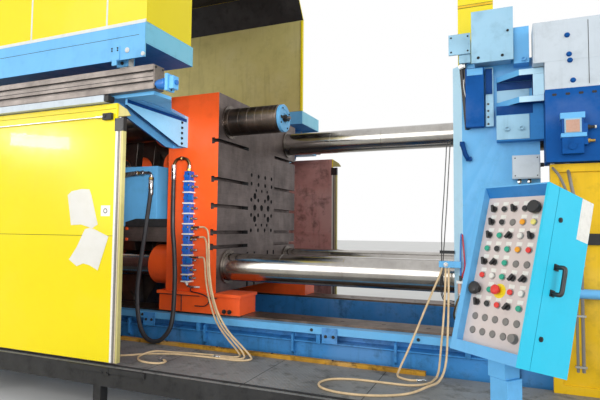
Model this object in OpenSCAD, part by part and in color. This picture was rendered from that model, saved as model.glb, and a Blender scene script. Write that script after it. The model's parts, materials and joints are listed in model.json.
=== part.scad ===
/* [Platens] */
// Width of the platens across the machine
platen_w = 1930; // [1800:10:2100]
// Height of the platens
platen_h = 2000; // [1900:10:2100]
// Thickness of the moving platen
moving_t = 600; // [500:10:700]
// Thickness of the fixed platen
fixed_t = 650; // [550:10:750]
// Thickness of the rear platen
rear_t = 650; // [550:10:750]
// Height of the centre of the platens above the floor
axis_z = 1955; // [1900:5:2000]
// Space between the two die faces with the clamp open
daylight = 2245; // [2100:5:2400]

/* [Tie bars] */
// Diameter of the tie bars
tie_d = 280; // [240:10:300]
// Distance between the tie bars across the machine
tie_span_y = 1470; // [1400:10:1500]
// Distance between the tie bars in height
tie_span_z = 1490; // [1400:10:1550]
// Length of the withdrawn tie bar that stands out of the moving platen
tie_stub = 590; // [400:10:800]

/* [Toggle] */
// Length of a rear toggle link between its pivots
rear_link = 850; // [840:5:860]
// Length of a front toggle link between its pivots
front_link = 1050; // [1040:5:1060]
// Height of the toggle pivots above and below the axis
pivot_dz = 360; // [340:5:380]
// Diameter of the toggle pins
pin_d = 160; // [120:5:180]

/* [Bed] */
// Height of the ways that the platens slide on
way_z = 755; // [740:5:770]
// Height of the platforms beside the bed
platform_h = 450; // [350:10:500]
// Width of each platform
platform_w = 860; // [800:10:900]

/* [Guards] */
// Height of the lower sliding doors
door_h = 2170; // [2100:10:2190]
// Length of the lower sliding doors
door_l = 3300; // [3000:50:3600]
// Length of the sliding hood
hood_l = 3000; // [2600:50:3200]
// Height of the hood's roof above the floor
hood_top = 5000; // [4900:10:5200]
// Thickness of the guard sheets
sheet_t = 30; // [20:2:40]

/* [Console] */
// Width of the operator's console
console_w = 365; // [320:5:420]
// Height of the operator's console
console_h = 790; // [700:10:850]
// Depth of the operator's console
console_d = 330; // [280:5:360]
// Angle that the console leans back
console_tilt = 15.9; // [8:0.1:20]
// Angle that the console is turned from the operator's side
console_turn = 39.7; // [30:0.1:45]

/* [Injection end] */
// Diameter of the shot cylinder
shot_d = 430; // [380:10:460]
// Length of the shot cylinder
shot_l = 1500; // [1300:50:1700]
// Distance of the shot sleeve below the axis
shot_drop = 300; // [250:10:340]

/* [Hidden] */

// Places along the machine, from the fixed platen's die face
moving_face = -daylight;
moving_back = moving_face - moving_t;
fixed_back = fixed_t;
half_w = platen_w / 2;
platen_bottom = axis_z - platen_h / 2;
tie_y = tie_span_y / 2;
tie_dz = tie_span_z / 2;
tie_z = axis_z - 10;
bar_clear = 0.5;
seat_gap = 0.2;
round_n = 64;

// Toggle geometry, worked out from the link lengths and the stroke
stroke = 1200;
lug_out = 250;
open_span = rear_link + front_link - stroke;
front_pivot_x = moving_back - lug_out;
rear_pivot_x = front_pivot_x - open_span;
rear_face = rear_pivot_x - 300;
rear_back = rear_face - rear_t;
rear_angle = acos((rear_link ^ 2 + open_span ^ 2 - front_link ^ 2) / (2 * rear_link * open_span));
front_angle = acos((front_link ^ 2 + open_span ^ 2 - rear_link ^ 2) / (2 * front_link * open_span));
eye_r = 150;
pin_clear = 0.5;
outer_plate_y = 480;
inner_plate_y = 170;
plate_t = 110;
middle_plate_y = (outer_plate_y + inner_plate_y) / 2;
middle_plate_t = 180;
crosshead_lug = 340;
crosshead_link = 600;
crosshead_dz = 140;
crosshead_eye_r = 85;
lug_x = rear_pivot_x + crosshead_lug * cos(rear_angle);
lug_z = pivot_dz + crosshead_lug * sin(rear_angle);
crosshead_x = lug_x + sqrt(crosshead_link ^ 2 - (lug_z - crosshead_dz) ^ 2);
crosshead_angle = atan2(lug_z - crosshead_dz, lug_x - crosshead_x);
rod_d = 170;
guide_d = 110;
guide_y = 330;
guide_l = 1950;

// Bed
beam_in = 640;
beam_out = 1000;
way_t = 20;
way_in = 655;
way_out = 950;
beam_top = way_z - way_t;
bed_x0 = -6400;
bed_x1 = 1900;
flange_out = 1050;
platform_in = 1120;
platform_out = platform_in + platform_w;
platform_x0 = -6300;
platform_x1 = 2600;

// Guards
door_y = platform_out - 30;
door_z0 = platform_h + 26;
door_x1 = -2570;
far_door_x1 = -1970;
door_t = 40;
rail_y = 1900;
rail_w = 130;
rail_z0 = 2730;
rail_z1 = 2935;
rail_x1 = -2250;
rail_l = 3600;
tray_out = 2016;
tray_in = 1380;
tray_z0 = 2985;
tray_floor_z = 3100;
tray_z1 = 3283;
hood_x1 = -2300;
hood_crease_z = hood_top - 380;
hood_crease_in = 1105;

// Routes of the hoses
core_hose_d = 44;
water_hose_d = 17;
core_route = [[-3030, -1005, 2060], [-3032, -1015, 1900], [-3055, -1045, 1570], [-3080, -1090, 1150],
    [-3070, -1125, 900], [-3010, -1160, 660], [-2915, -1185, 525], [-2800, -1192, 482], [-2690, -1185, 525],
    [-2615, -1155, 680], [-2625, -1110, 1070], [-2670, -1070, 1370], [-2715, -1040, 1600], [-2743, -1008, 1950],
    [-2743, -1005, 2119]];
water_routes = [
    [[-2420, -1005, 1600], [-2360, -1010, 1598], [-2290, -1050, 1550], [-2245, -1100, 1400], [-2215, -1130, 1200],
        [-2170, -1150, 1000], [-2090, -1175, 820], [-1960, -1200, 660], [-1800, -1230, 545], [-1690, -1270, 478],
        [-1655, -1330, 463], [-1740, -1385, 459], [-1920, -1395, 459], [-2150, -1405, 459], [-2400, -1440, 459],
        [-2600, -1530, 459], [-2720, -1640, 459], [-2860, -1700, 459], [-3060, -1680, 459], [-3260, -1620, 459]],
    [[-2420, -1005, 1500], [-2360, -1010, 1498], [-2310, -1045, 1440], [-2270, -1090, 1280], [-2225, -1120, 1080],
        [-2150, -1150, 880], [-2040, -1185, 700], [-1900, -1215, 585], [-1795, -1245, 512], [-1748, -1275, 478],
        [-1733, -1308, 463], [-1770, -1345, 459], [-1880, -1350, 459], [-1990, -1345, 459]],
    [[-2420, -1005, 1300], [-2365, -1010, 1298], [-2330, -1035, 1240], [-2290, -1070, 1080], [-2230, -1095, 900],
        [-2130, -1130, 720], [-2000, -1165, 595], [-1885, -1200, 516], [-1822, -1232, 478], [-1797, -1264, 463],
        [-1828, -1305, 459], [-1950, -1315, 459], [-2200, -1340, 459], [-2420, -1390, 461], [-2550, -1485, 478],
        [-2605, -1610, 461], [-2530, -1720, 459], [-2400, -1760, 459], [-2290, -1730, 459], [-2290, -1660, 459],
        [-2370, -1620, 459]]];
return_routes = [
    [[-60, -985, 1290], [-62, -995, 1150], [-72, -1035, 900], [-84, -1090, 700], [-94, -1145, 535],
        [-102, -1190, 482], [-115, -1245, 463], [-150, -1370, 459], [-260, -1462, 459], [-450, -1478, 459],
        [-680, -1492, 459], [-840, -1560, 459], [-890, -1680, 459], [-820, -1790, 459], [-640, -1830, 459],
        [-420, -1780, 459], [-240, -1660, 461], [-130, -1500, 478], [-70, -1340, 482], [-40, -1200, 570],
        [-36, -1085, 780], [-36, -1010, 1020], [-36, -985, 1290]],
    [[-88, -985, 1290], [-105, -990, 1230], [-150, -1015, 1120], [-205, -1045, 980], [-265, -1090, 820],
        [-330, -1135, 650], [-380, -1180, 530], [-397, -1218, 480], [-398, -1255, 463], [-370, -1300, 459],
        [-290, -1335, 459], [-200, -1310, 459]]];

// T-slots: heights of the side slots above the shot line, and places of the upright slots
shot_z = axis_z - shot_drop;
slot_line = axis_z - 135;
side_slots = [650, 263, -6, -270, -415];
upright_slots = [-330, -165, 165, 330];
slot_neck = 36;
slot_neck_depth = 40;
slot_head = 62;
slot_head_depth = 36;
slot_in = 330;

// Holes for ejector rods
ejector_pitch = 170;
ejector_rows = [370, 274, 93, -78, -250];
ejector_d = 46;
ejector_big_d = 72;

sky_blue = [0.28, 0.62, 0.90];
deep_blue = [0.10, 0.36, 0.68];
orange = [0.95, 0.28, 0.10];
steel = [0.62, 0.62, 0.62];
machined = [0.42, 0.40, 0.40];
yellow = [0.98, 0.86, 0.08];
dark = [0.15, 0.15, 0.16];
pale_grey = [0.82, 0.84, 0.86];

// A block between two corners
module block(x, y, z) {
    translate([x[0], y[0], z[0]]) cube([x[1] - x[0], y[1] - y[0], z[1] - z[0]]);
}

// Round bars along the three axes
module bar_x(x0, x1, y, z, d, n = round_n) {
    translate([x0, y, z]) rotate([0, 90, 0]) cylinder(h = x1 - x0, d = d, $fn = n);
}

module bar_y(y0, y1, x, z, d, n = round_n) {
    translate([x, y0, z]) rotate([-90, 0, 0]) cylinder(h = y1 - y0, d = d, $fn = n);
}

module bar_z(z0, z1, x, y, d, n = round_n) {
    translate([x, y, z0]) cylinder(h = z1 - z0, d = d, $fn = n);
}

// A profile given across the machine (y, z), drawn out along it
module along_x(x0, x1) {
    translate([x0, 0, 0]) rotate([90, 0, 90]) linear_extrude(x1 - x0) children();
}

// A profile given in side view (x, z), drawn out across the machine
module across_y(y0, y1) {
    translate([0, y1, 0]) rotate([90, 0, 0]) linear_extrude(y1 - y0) children();
}

// The same piece on the near and the far side
module both_sides() {
    children();
    mirror([0, 1, 0]) children();
}

// Tie bar places, as [y, z]
near_upper = [-tie_y, tie_z + tie_dz];
far_upper = [tie_y, tie_z + tie_dz];
near_lower = [-tie_y, tie_z - tie_dz];
far_lower = [tie_y, tie_z - tie_dz];
all_bars = [near_upper, far_upper, near_lower, far_lower];

// Bed
module beam_profile() {
    web_out = beam_out - 60;
    ledge_z = 600;
    foot_h = 60;
    polygon([[beam_in, 0], [beam_out + 40, 0], [beam_out + 40, foot_h], [beam_out, foot_h],
        [beam_out, ledge_z - 20], [flange_out - 20, ledge_z - 10], [flange_out - 20, ledge_z],
        [web_out, ledge_z + 12], [web_out, beam_top - 62], [flange_out, beam_top - 62],
        [flange_out, beam_top], [beam_in, beam_top]]);
}

module beam_ribs() {
    rib_pitch = 1250;
    rib_n = floor((bed_x1 - bed_x0 - 400) / rib_pitch);
    for (i = [0 : rib_n])
        block([bed_x0 + 240 + i * rib_pitch, bed_x0 + 280 + i * rib_pitch], [beam_out - 62, flange_out - 6],
            [590, beam_top - 50]);
}

module anchor_feet() {
    foot_l = 320;
    for (x = anchor_x)
        block([x - foot_l / 2, x + foot_l / 2], [beam_out + 20, beam_out + 100], [0, 40]);
}

anchor_x = [bed_x0 + 300, bed_x1 - 300];
anchor_y = beam_out + 70;
anchor_d = 33;

module bed_beam() {
    color(sky_blue) difference() {
        union() {
            along_x(bed_x0, bed_x1) beam_profile();
            beam_ribs();
            anchor_feet();
        }
        for (x = anchor_x)
            bar_z(-1, 60, x, anchor_y, anchor_d);
    }
}

module bed_far_beam() {
    bed_beam();
}

module bed_near_beam() {
    mirror([0, 1, 0]) bed_beam();
}

cross_x = [-6300, -4700, -2600, -1100, -150, 1600];
module bed_cross_members() {
    cross_w = 260;
    color(deep_blue) for (x = cross_x)
        block([x, x + cross_w], [-beam_in, beam_in], [0, 420]);
}

module bed_ways() {
    color(machined) both_sides()
        block([bed_x0 + 200, -20], [way_in, way_out], [beam_top, way_z]);
}

// Platforms and their yellow kick strips
module platform_shell() {
    plate = 12;
    skirt = 20;
    leg = 80;
    skirt_z = platform_h - 160;
    skirt_top = platform_h - plate - seat_gap;
    block([platform_x0, platform_x1], [platform_in, platform_out], [platform_h - plate, platform_h]);
    for (y = [platform_in, platform_out - skirt])
        block([platform_x0, platform_x1], [y, y + skirt], [skirt_z, skirt_top]);
    for (x = [platform_x0, platform_x1 - skirt])
        block([x, x + skirt], [platform_in + skirt + seat_gap, platform_out - skirt - seat_gap], [skirt_z, skirt_top]);
    leg_n = 5;
    leg_pitch = (platform_x1 - platform_x0 - leg) / leg_n;
    for (i = [0 : leg_n]) {
        leg_x = platform_x0 + i * leg_pitch;
        for (y = [platform_in, platform_out - leg])
            block([leg_x, leg_x + leg], [y, y + leg], [0, skirt_z - seat_gap]);
        if (leg_x > bed_x0 && leg_x + leg < bed_x1)
            block([leg_x, leg_x + leg], [beam_out, platform_in - seat_gap], [skirt_z + 20, skirt_z + 100]);
    }
}

module platforms() {
    color(dark) both_sides() platform_shell();
}

module kick_strips() {
    color([0.85, 0.62, 0.08]) both_sides()
        block([platform_x0, -200], [platform_in - 8, platform_in + 40], [platform_h, platform_h + 32]);
}

// A T-slot open at the die face x, cut into the material on the side given by dir
module side_slot(x, dir, z, y0, y1) {
    neck_x = dir > 0 ? [x - 1, x + slot_neck_depth + 1] : [x - slot_neck_depth - 1, x + 1];
    head_x = dir > 0 ? [x + slot_neck_depth, x + slot_neck_depth + slot_head_depth]
        : [x - slot_neck_depth - slot_head_depth, x - slot_neck_depth];
    block(neck_x, [y0, y1], [z - slot_neck / 2, z + slot_neck / 2]);
    block(head_x, [y0, y1], [z - slot_head / 2, z + slot_head / 2]);
}

module upright_slot(x, dir, y, z0, z1) {
    neck_x = dir > 0 ? [x - 1, x + slot_neck_depth + 1] : [x - slot_neck_depth - 1, x + 1];
    head_x = dir > 0 ? [x + slot_neck_depth, x + slot_neck_depth + slot_head_depth]
        : [x - slot_neck_depth - slot_head_depth, x - slot_neck_depth];
    block(neck_x, [y - slot_neck / 2, y + slot_neck / 2], [z0, z1]);
    block(head_x, [y - slot_head / 2, y + slot_head / 2], [z0, z1]);
}

module t_slots(x, dir) {
    for (s = side_slots, side = [-1, 1])
        side_slot(x, dir, slot_line + s, side > 0 ? slot_in : -half_w - 1, side > 0 ? half_w + 1 : -slot_in);
    for (y = upright_slots) {
        upright_slot(x, dir, y, platen_bottom - 1, slot_line - 490);
    }
}

// Bores for the tie bars: the three that stay are seated, the withdrawn one slides
module tie_bores(x0, x1) {
    for (b = [far_upper, near_lower, far_lower])
        bar_x(x0 - 1, x1 + 1, b[0], b[1], tie_d + 2 * seat_gap);
    bar_x(x0 - 1, x1 + 1, near_upper[0], near_upper[1], tie_d + 2 * bar_clear);
}

// Bores in what slides along all four tie bars
module sliding_bores(x0, x1) {
    for (b = all_bars)
        bar_x(x0 - 1, x1 + 1, b[0], b[1], tie_d + 2 * bar_clear);
}

module ejector_holes(x0, x1) {
    for (r = ejector_rows, c = [-1.5 : 1 : 1.5])
        bar_x(x0 - 1, x1 + 1, c * ejector_pitch, slot_line + r, ejector_d);
    for (p = [[-1, 137], [1, 137], [-1, 8], [0, 8], [1, 8], [-1, -122], [1, -122]])
        bar_x(x0 - 1, x1 + 1, p[0] * ejector_pitch, slot_line + p[1], ejector_big_d);
    for (r = [204, -190], c = [-1 : 1])
        bar_x(x0 - 1, x1 + 1, c * 140, slot_line + r, ejector_d * 0.8);
}

// Side view of a platen: the die face is plain and the back is ribbed with corner pads
module platen_body(x0, x1) {
    block([x0, x1], [-half_w, half_w], [platen_bottom, platen_bottom + platen_h]);
}

module fixed_platen() {
    corner = 75;
    foot_x = 60;
    pocket_d = 260;
    color(sky_blue) difference() {
        union() {
            platen_body(0, fixed_back);
            both_sides() block([foot_x, fixed_back - foot_x], [beam_in + 20, half_w - 5], [beam_top, platen_bottom]);
            bar_x(fixed_back - 1, fixed_back + boss_l, 0, shot_z, 520);
        }
        both_sides() translate([0, 0, platen_bottom - 1]) linear_extrude(platen_h + 2)
            polygon([[-1, half_w - corner], [0, half_w - corner], [corner, half_w], [corner, half_w + 1], [-1, half_w + 1]]);
        t_slots(0, 1);
        tie_bores(0, fixed_back);
        bar_x(-1, fixed_back + boss_l + 1, 0, shot_z, sleeve_d + 2 * seat_gap);
        for (y = [-1, 1], z = [-1, 1])
            block([fixed_back - pocket_d, fixed_back + 1],
                [y * 560 - 110, y * 560 + 110], [axis_z + z * 330 - 170, axis_z + z * 330 + 170]);
    }
}

module rear_platen() {
    color(orange) difference() {
        union() {
            block([rear_back, rear_face], [-half_w, half_w], [platen_bottom, platen_bottom + platen_h]);
            both_sides() block([rear_back + 60, rear_face - 60], [beam_in + 20, half_w - 5], [way_z, platen_bottom]);
        }
        tie_bores(rear_back, rear_face);
        bar_x(rear_back - 1, rear_face + 1, 0, axis_z, rod_d + 10);
        for (y = [-guide_y, guide_y])
            bar_x(rear_back - 1, rear_face + 1, y, axis_z, guide_d + 2 * pin_clear);
    }
}

// Pivot lugs, two pairs on the rear platen and two sets of four on the moving one
module lug_set(face_x, pivot_x, places, t) {
    difference() {
        for (y = places, z = [-1, 1])
            lug(face_x, pivot_x, y, t, axis_z + z * pivot_dz);
        for (z = [-1, 1])
            bar_y(-half_w, half_w, pivot_x, axis_z + z * pivot_dz, pin_d + 2 * seat_gap);
    }
}

module rear_lugs() {
    color(orange) lug_set(rear_face, rear_pivot_x, [-middle_plate_y, middle_plate_y], middle_plate_t);
}

module moving_lugs() {
    color(orange) lug_set(moving_back, front_pivot_x,
        [-outer_plate_y, -inner_plate_y, inner_plate_y, outer_plate_y], plate_t);
}

// A pivot lug that stands out of a platen's face, with a round end about the pivot
module lug(face_x, pivot_x, y, t, z) {
    root = 190;
    dir = pivot_x > face_x ? 1 : -1;
    bar_y(y - t / 2, y + t / 2, pivot_x, z, 2 * eye_r);
    across_y(y - t / 2, y + t / 2)
        polygon([[face_x, z - root], [pivot_x, z - eye_r], [pivot_x, z + eye_r], [face_x, z + root]]);
}

// Tie bars run from the rear nuts to the fixed platen's nuts
bar_x0 = rear_back - 520;
bar_x1 = fixed_back + 330;
module tie_bar(place) {
    thread_l = 420;
    color(steel) union() {
        bar_x(bar_x0, bar_x1, place[0], place[1], tie_d);
        for (x = [bar_x0 - 30, bar_x1])
            bar_x(x, x + 30, place[0], place[1], tie_d - 60);
    }
}

module tie_bars() {
    for (place = [far_upper, near_lower, far_lower])
        tie_bar(place);
}

// Nuts on both ends, with a toothed rim on the rear ones that sets the die height
module tie_bar_nuts() {
    nut_d = 460;
    nut_l = 210;
    rim_d = 520;
    rim_l = 70;
    teeth = 40;
    rear_nut_x0 = rear_back - nut_l - rim_l;
    color(machined) difference() {
        union() {
            for (b = [far_upper, near_lower, far_lower])
                bar_x(fixed_back, fixed_back + nut_l, b[0], b[1], nut_d, 12);
            for (b = all_bars) {
                bar_x(rear_nut_x0, rear_back, b[0], b[1], nut_d);
                bar_x(rear_back - rim_l - 10, rear_back - 10, b[0], b[1], rim_d);
            }
        }
        tie_bores(rear_nut_x0 - 10, fixed_back + nut_l + 10);
    }
}

// Clamp cylinder behind the rear platen: flange, barrel, end cap and tie rods
cyl_d = 520;
cyl_l = 1500;
module clamp_cylinder() {
    flange = 700;
    flange_t = 90;
    color(sky_blue) difference() {
        union() {
            block([rear_back - flange_t, rear_back], [-flange / 2 + 60, flange / 2 - 60],
                [axis_z - flange / 2, axis_z + flange / 2]);
            bar_x(rear_back - cyl_l, rear_back - flange_t, 0, axis_z, cyl_d);
            block([rear_back - cyl_l - 120, rear_back - cyl_l], [-cyl_d / 2 - 20, cyl_d / 2 + 20],
                [axis_z - cyl_d / 2 - 20, axis_z + cyl_d / 2 + 20]);
            bar_z(axis_z + cyl_d / 2 - 20, axis_z + cyl_d / 2 + 120, rear_back - 260, 0, 130);
            bar_z(axis_z + cyl_d / 2 - 20, axis_z + cyl_d / 2 + 120, rear_back - cyl_l + 160, 0, 130);
        }
        bar_x(rear_back - cyl_l + 40, rear_back + 1, 0, axis_z, rod_d + 10);
        for (y = [-guide_y, guide_y])
            bar_x(rear_back - flange_t - 1, rear_back + 1, y, axis_z, guide_d + 30);
    }
}

// Injection end
boss_l = 60;
sleeve_d = 230;
sleeve_bore = 160;
sleeve_x1 = fixed_back + 620;
shot_x0 = 2300;
module shot_frame() {
    rod_y = 330;
    rod_z = 300;
    head_t = 160;
    color(sky_blue) difference() {
        union() {
            block([shot_x0 - head_t, shot_x0], [-480, 480], [shot_z - 440, shot_z + 440]);
            for (y = [-rod_y, rod_y], z = [-rod_z, rod_z])
                bar_x(fixed_back, shot_x0 - head_t, y, shot_z + z, 130);
        }
        bar_x(shot_x0 - head_t - 1, shot_x0 + 1, 0, shot_z, 150);
    }
}

module shot_cylinder() {
    flange_t = 80;
    color(sky_blue) difference() {
        union() {
            bar_x(shot_x0, shot_x0 + flange_t, 0, shot_z, shot_d + 190);
            bar_x(shot_x0 + flange_t, shot_x0 + shot_l, 0, shot_z, shot_d);
            bar_x(shot_x0 + shot_l, shot_x0 + shot_l + flange_t, 0, shot_z, shot_d + 120);
            block([shot_x0 + shot_l + flange_t, shot_x0 + shot_l + 308], [-200, 200], [shot_z - 200, shot_z + 200]);
            bar_x(shot_x0 + shot_l + 308, shot_x0 + shot_l + 340, 0, shot_z, 240);
            block([shot_x0 + 500, shot_x0 + 900], [-170, 170], [shot_z + shot_d / 2 - 40, shot_z + shot_d / 2 + 180]);
        }
        bar_x(shot_x0 - 1, shot_x0 + shot_l - 100, 0, shot_z, 122);
    }
}

module shot_sleeve() {
    pour_l = 260;
    pour_w = 130;
    color(steel) difference() {
        union() {
            bar_x(-30, sleeve_x1, 0, shot_z, sleeve_d);
            bar_x(fixed_back + boss_l, fixed_back + 2 * boss_l, 0, shot_z, 330);
        }
        bar_x(-31, sleeve_x1 + 1, 0, shot_z, sleeve_bore);
        block([sleeve_x1 - 80 - pour_l, sleeve_x1 - 80], [-pour_w / 2, pour_w / 2], [shot_z, shot_z + sleeve_d]);
    }
}

module shot_plunger() {
    tip_x = sleeve_x1 - 60;
    color(machined) union() {
        bar_x(tip_x, tip_x + 150, 0, shot_z, sleeve_bore - 2);
        bar_x(tip_x + 150, shot_x0 - 500, 0, shot_z, 100);
        bar_x(shot_x0 - 500, shot_x0 - 300, 0, shot_z, 200);
        bar_x(shot_x0 - 300, shot_x0 + 600, 0, shot_z, 120);
    }
}

accumulator_z0 = 900;
module accumulators() {
    bottle_d = 360;
    bottle_y = 780;
    top_z = accumulator_z0 + 2000;
    color(deep_blue) for (x = [shot_x0 + 200, shot_x0 + 700]) {
        bar_z(accumulator_z0, top_z, x, bottle_y, bottle_d);
        translate([x, bottle_y, top_z]) intersection() {
            sphere(d = bottle_d, $fn = round_n);
            translate([-bottle_d, -bottle_d, 0]) cube([2 * bottle_d, 2 * bottle_d, bottle_d]);
        }
        bar_z(top_z + bottle_d / 2 - 20, top_z + bottle_d / 2 + 80, x, bottle_y, 90);
    }
}

module shot_stand() {
    stand_x1 = shot_x0 + 1800;
    base_h = 640;
    bottle_h = accumulator_z0 - base_h;
    color(deep_blue) {
        block([bed_x1, stand_x1], [-560, 980], [0, base_h]);
        block([bed_x1 + 240, shot_x0 - 1], [-420, 420], [base_h + seat_gap, shot_z - 440]);
        block([shot_x0 + 1200, shot_x0 + 1440], [-260, 260], [base_h + seat_gap, shot_z - shot_d / 2]);
        block([shot_x0 - 40, shot_x0 + 940], [560, 980], [base_h + seat_gap, base_h + bottle_h]);
    }
}

// Guards that stay where they are
module framed_panel(x0, x1, y, z0, z1) {
    frame = 60;
    block([x0, x1], [y, y + frame], [z0, z0 + frame]);
    block([x0, x1], [y, y + frame], [z1 - frame, z1]);
    for (x = [x0, x1 - frame])
        block([x, x + frame], [y, y + frame], [z0, z1]);
    block([x0 + 10, x1 - 10], [y + 16, y + 44], [z0 + 10, z1 - 10]);
}

module clamp_guards() {
    color(yellow) both_sides()
        framed_panel(rear_back - 400, post_x[0] + 150, 1200, platform_h, 2600);
}

module injection_guard() {
    color(yellow) {
        framed_panel(fixed_back + 50, shot_x0 + 200, -platform_in - 60, platform_h, 2080);
        framed_panel(fixed_back + 50, shot_x0 + 200, platform_in, platform_h, 2080);
    }
}

module platen_top_guard() {
    platen_top = platen_bottom + platen_h;
    top_z = platen_top + 900;
    side = 800;
    t = 40;
    color(yellow) {
        block([t, 2 * t], [-side + t, side - t], [platen_top, top_z]);
        for (y = [-side - t / 2, side + t / 2])
            block([t, 320], [y - t, y + t - seat_gap], [platen_top, top_z]);
    }
}

// Door tracks: a low rail on each platform and a top rail carried by posts
door_in = door_y - door_t;
wheel_d = 44;
rail_h = 8;
top_track_z = door_z0 + door_h + 8;
post_x = [-4400, -6200];

module door_tracks() {
    color(pale_grey) both_sides() {
        block([platform_x0, platform_x1], [door_y - 32, door_y - 8], [platform_h, platform_h + rail_h]);
        block([platform_x0, -2740], [door_in, door_y + 50], [top_track_z, top_track_z + 60]);
    }
}

module door_posts() {
    post_in = 1260;
    color(sky_blue) both_sides() {
        for (x = post_x) {
            block([x, x + 100], [post_in, post_in + 100], [platform_h, top_track_z]);
            block([x, x + 100], [post_in, door_in - seat_gap], [top_track_z + seat_gap, top_track_z + 60]);
        }
    }
}

// Brackets on the near side of the fixed platen
module platen_brackets() {
    y0 = -half_w;
    z = platen_bottom + platen_h;
    arm_z0 = z - 389;
    arm_z1 = z - 135;
    arm_t = 45;
    color(sky_blue) {
        for (arm_z = [arm_z0, arm_z1 - arm_t])
            translate([0, 0, arm_z]) linear_extrude(arm_t)
                polygon([[339, y0], [674, y0], [674, y0 - 160], [505, y0 - 160]]);
        block([600, 674], [y0 - 160, y0], [arm_z0 + arm_t + seat_gap, arm_z1 - arm_t - seat_gap]);
        block([339, 674], [y0 - 90, y0], [z - 665, arm_z0 - seat_gap]);
        block([470, 580], [y0 - 110, y0], [z - 70, z + 215]);
    }
    color([0.62, 0.78, 0.88]) {
        block([163, 469], [y0 - 150, y0 - 130], [z - 45, z + 370]);
        block([180, 450], [y0 - 130 + seat_gap, y0], [z - 35, z - 5]);
        block([-20, 151], [y0 - 60, y0 - 45], [z + 70, z + 240]);
        block([60, 150], [y0 - 45 + seat_gap, y0 + 100], [z, z + 200]);
        block([-110, 60], [y0 - 45, y0], [axis_z - 662, axis_z - 612]);
    }
}

// Boxes hung on the fixed platen's near side, clear of the withdrawn tie bar
module valve_block() {
    y0 = -half_w;
    z = platen_bottom + platen_h;
    color(deep_blue) {
        block([675, 1120], [y0 - 260, y0 - 20], [z - 865, z - 335]);
        block([111, 250], [y0 - 80, y0], [z - 535, z - 60]);
        block([262, 320], [y0 - 45, y0], [z - 535, z - 60]);
    }
}

module relay_cabinet() {
    y0 = -half_w;
    z = platen_bottom + platen_h;
    color(pale_grey) {
        block([600, 1120], [y0 - 260, y0 - 20], [z - 130, z + 170]);
        block([675, 1120], [y0 - 260, y0 - 20], [z - 335, z - 130 - seat_gap]);
        block([fixed_back - 45, fixed_back - 5], [y0 - 20, y0], [z - 120, z - 10]);
        block([449, 646], [y0 - 80, y0], [z - 961, z - 781]);
    }
}

// Console: its box leans back on a neck that turns on the post
console_top = [576, -2833, 1808];
console_foot_y = console_d / 2 * cos(console_tilt) - console_h * sin(console_tilt);
console_foot_z = -console_d / 2 * sin(console_tilt) - console_h * cos(console_tilt);
console_post_x = console_top[0] - console_w / 2 * cos(console_turn) + console_foot_y * sin(console_turn);
console_post_y = console_top[1] + console_w / 2 * sin(console_turn) + console_foot_y * cos(console_turn);
console_base_z = console_top[2] + console_foot_z;
post_w = 95;
post_h = console_base_z - 60;

module console_frame() {
    translate(console_top) rotate([0, 0, -console_turn]) rotate([-console_tilt, 0, 0]) children();
}

module console_post() {
    foot_w = 340;
    color(sky_blue) translate([console_post_x, console_post_y, 0]) rotate([0, 0, -console_turn]) {
        block([-post_w / 2, post_w / 2], [-post_w / 2, post_w / 2], [20, post_h]);
        block([-foot_w / 2, foot_w / 2], [-foot_w / 2, foot_w / 2], [0, 20 - seat_gap]);
    }
}

module console_box() {
    neck_d = 110;
    color(sky_blue) union() {
        console_frame() block([-console_w, 0], [0, console_d], [-console_h, 0]);
        bar_z(post_h + pin_clear, console_base_z + 60, console_post_x, console_post_y, neck_d);
    }
}

// Moving platen and what it carries
module moving_platen() {
    pocket = 230;
    color(orange) difference() {
        platen_body(moving_back, moving_face);
        t_slots(moving_face, -1);
        sliding_bores(moving_back, moving_face);
        ejector_holes(moving_back, moving_face);
        for (y = [-1, 1])
            block([moving_back - 1, moving_back + pocket], [y * 740 - 130, y * 740 + 130], [axis_z - 420, axis_z + 420]);
    }
}

module platen_bushes() {
    bush_d = 420;
    bush_l = 250;
    color(orange) difference() {
        for (b = all_bars)
            bar_x(moving_back - bush_l, moving_back, b[0], b[1], bush_d);
        sliding_bores(moving_back - bush_l, moving_back);
    }
}

shoe_x0 = -2900;
shoe_x1 = -1960;
module slide_shoes() {
    color(orange) both_sides() union() {
        block([shoe_x0, shoe_x1], [beam_in + 30, beam_out - 10], [way_z + 0.3, platen_bottom - 30]);
        block([shoe_x0 - 20, shoe_x1 + 20], [beam_in + 30, beam_out + 10], [platen_bottom - 30, platen_bottom]);
    }
}

// Pins: the rear ones stay with the rear platen, the front ones ride with the moving platen
module half_pins(x) {
    pin_in = inner_plate_y - plate_t / 2 - 5;
    pin_out = outer_plate_y + plate_t / 2 + 10;
    for (z = [-1, 1], y = [-pin_out, pin_in])
        bar_y(y, y + pin_out - pin_in, x, axis_z + z * pivot_dz, pin_d);
}

module rear_pins() {
    color(steel) half_pins(rear_pivot_x);
}

module toggle_pins() {
    color(steel) half_pins(front_pivot_x);
}

module core_valve_block() {
    block_x0 = -3650;
    block_x1 = -3040;
    color(deep_blue) block([block_x0, block_x1], [-900, -600], [1650, 2250]);
    color(dark) block([block_x0, moving_back], [-900, -600], [1600, 1650]);
}

module ejector_beams() {
    color(steel) both_sides()
        block([-3650, moving_back], [600, 860], [1440, 1600]);
}

module hood_rails() {
    groove = 24;
    color(dark) both_sides() difference() {
        block([rail_x1 - rail_l, rail_x1], [rail_y - rail_w / 2, rail_y + rail_w / 2], [rail_z0, rail_z1]);
        for (z = [rail_z0 + 60, rail_z1 - 60])
            block([rail_x1 - rail_l - 1, rail_x1 + 1], [rail_y + rail_w / 2 - groove, rail_y + rail_w / 2 + 1],
                [z - groove / 2, z + groove / 2]);
    }
}

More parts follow.
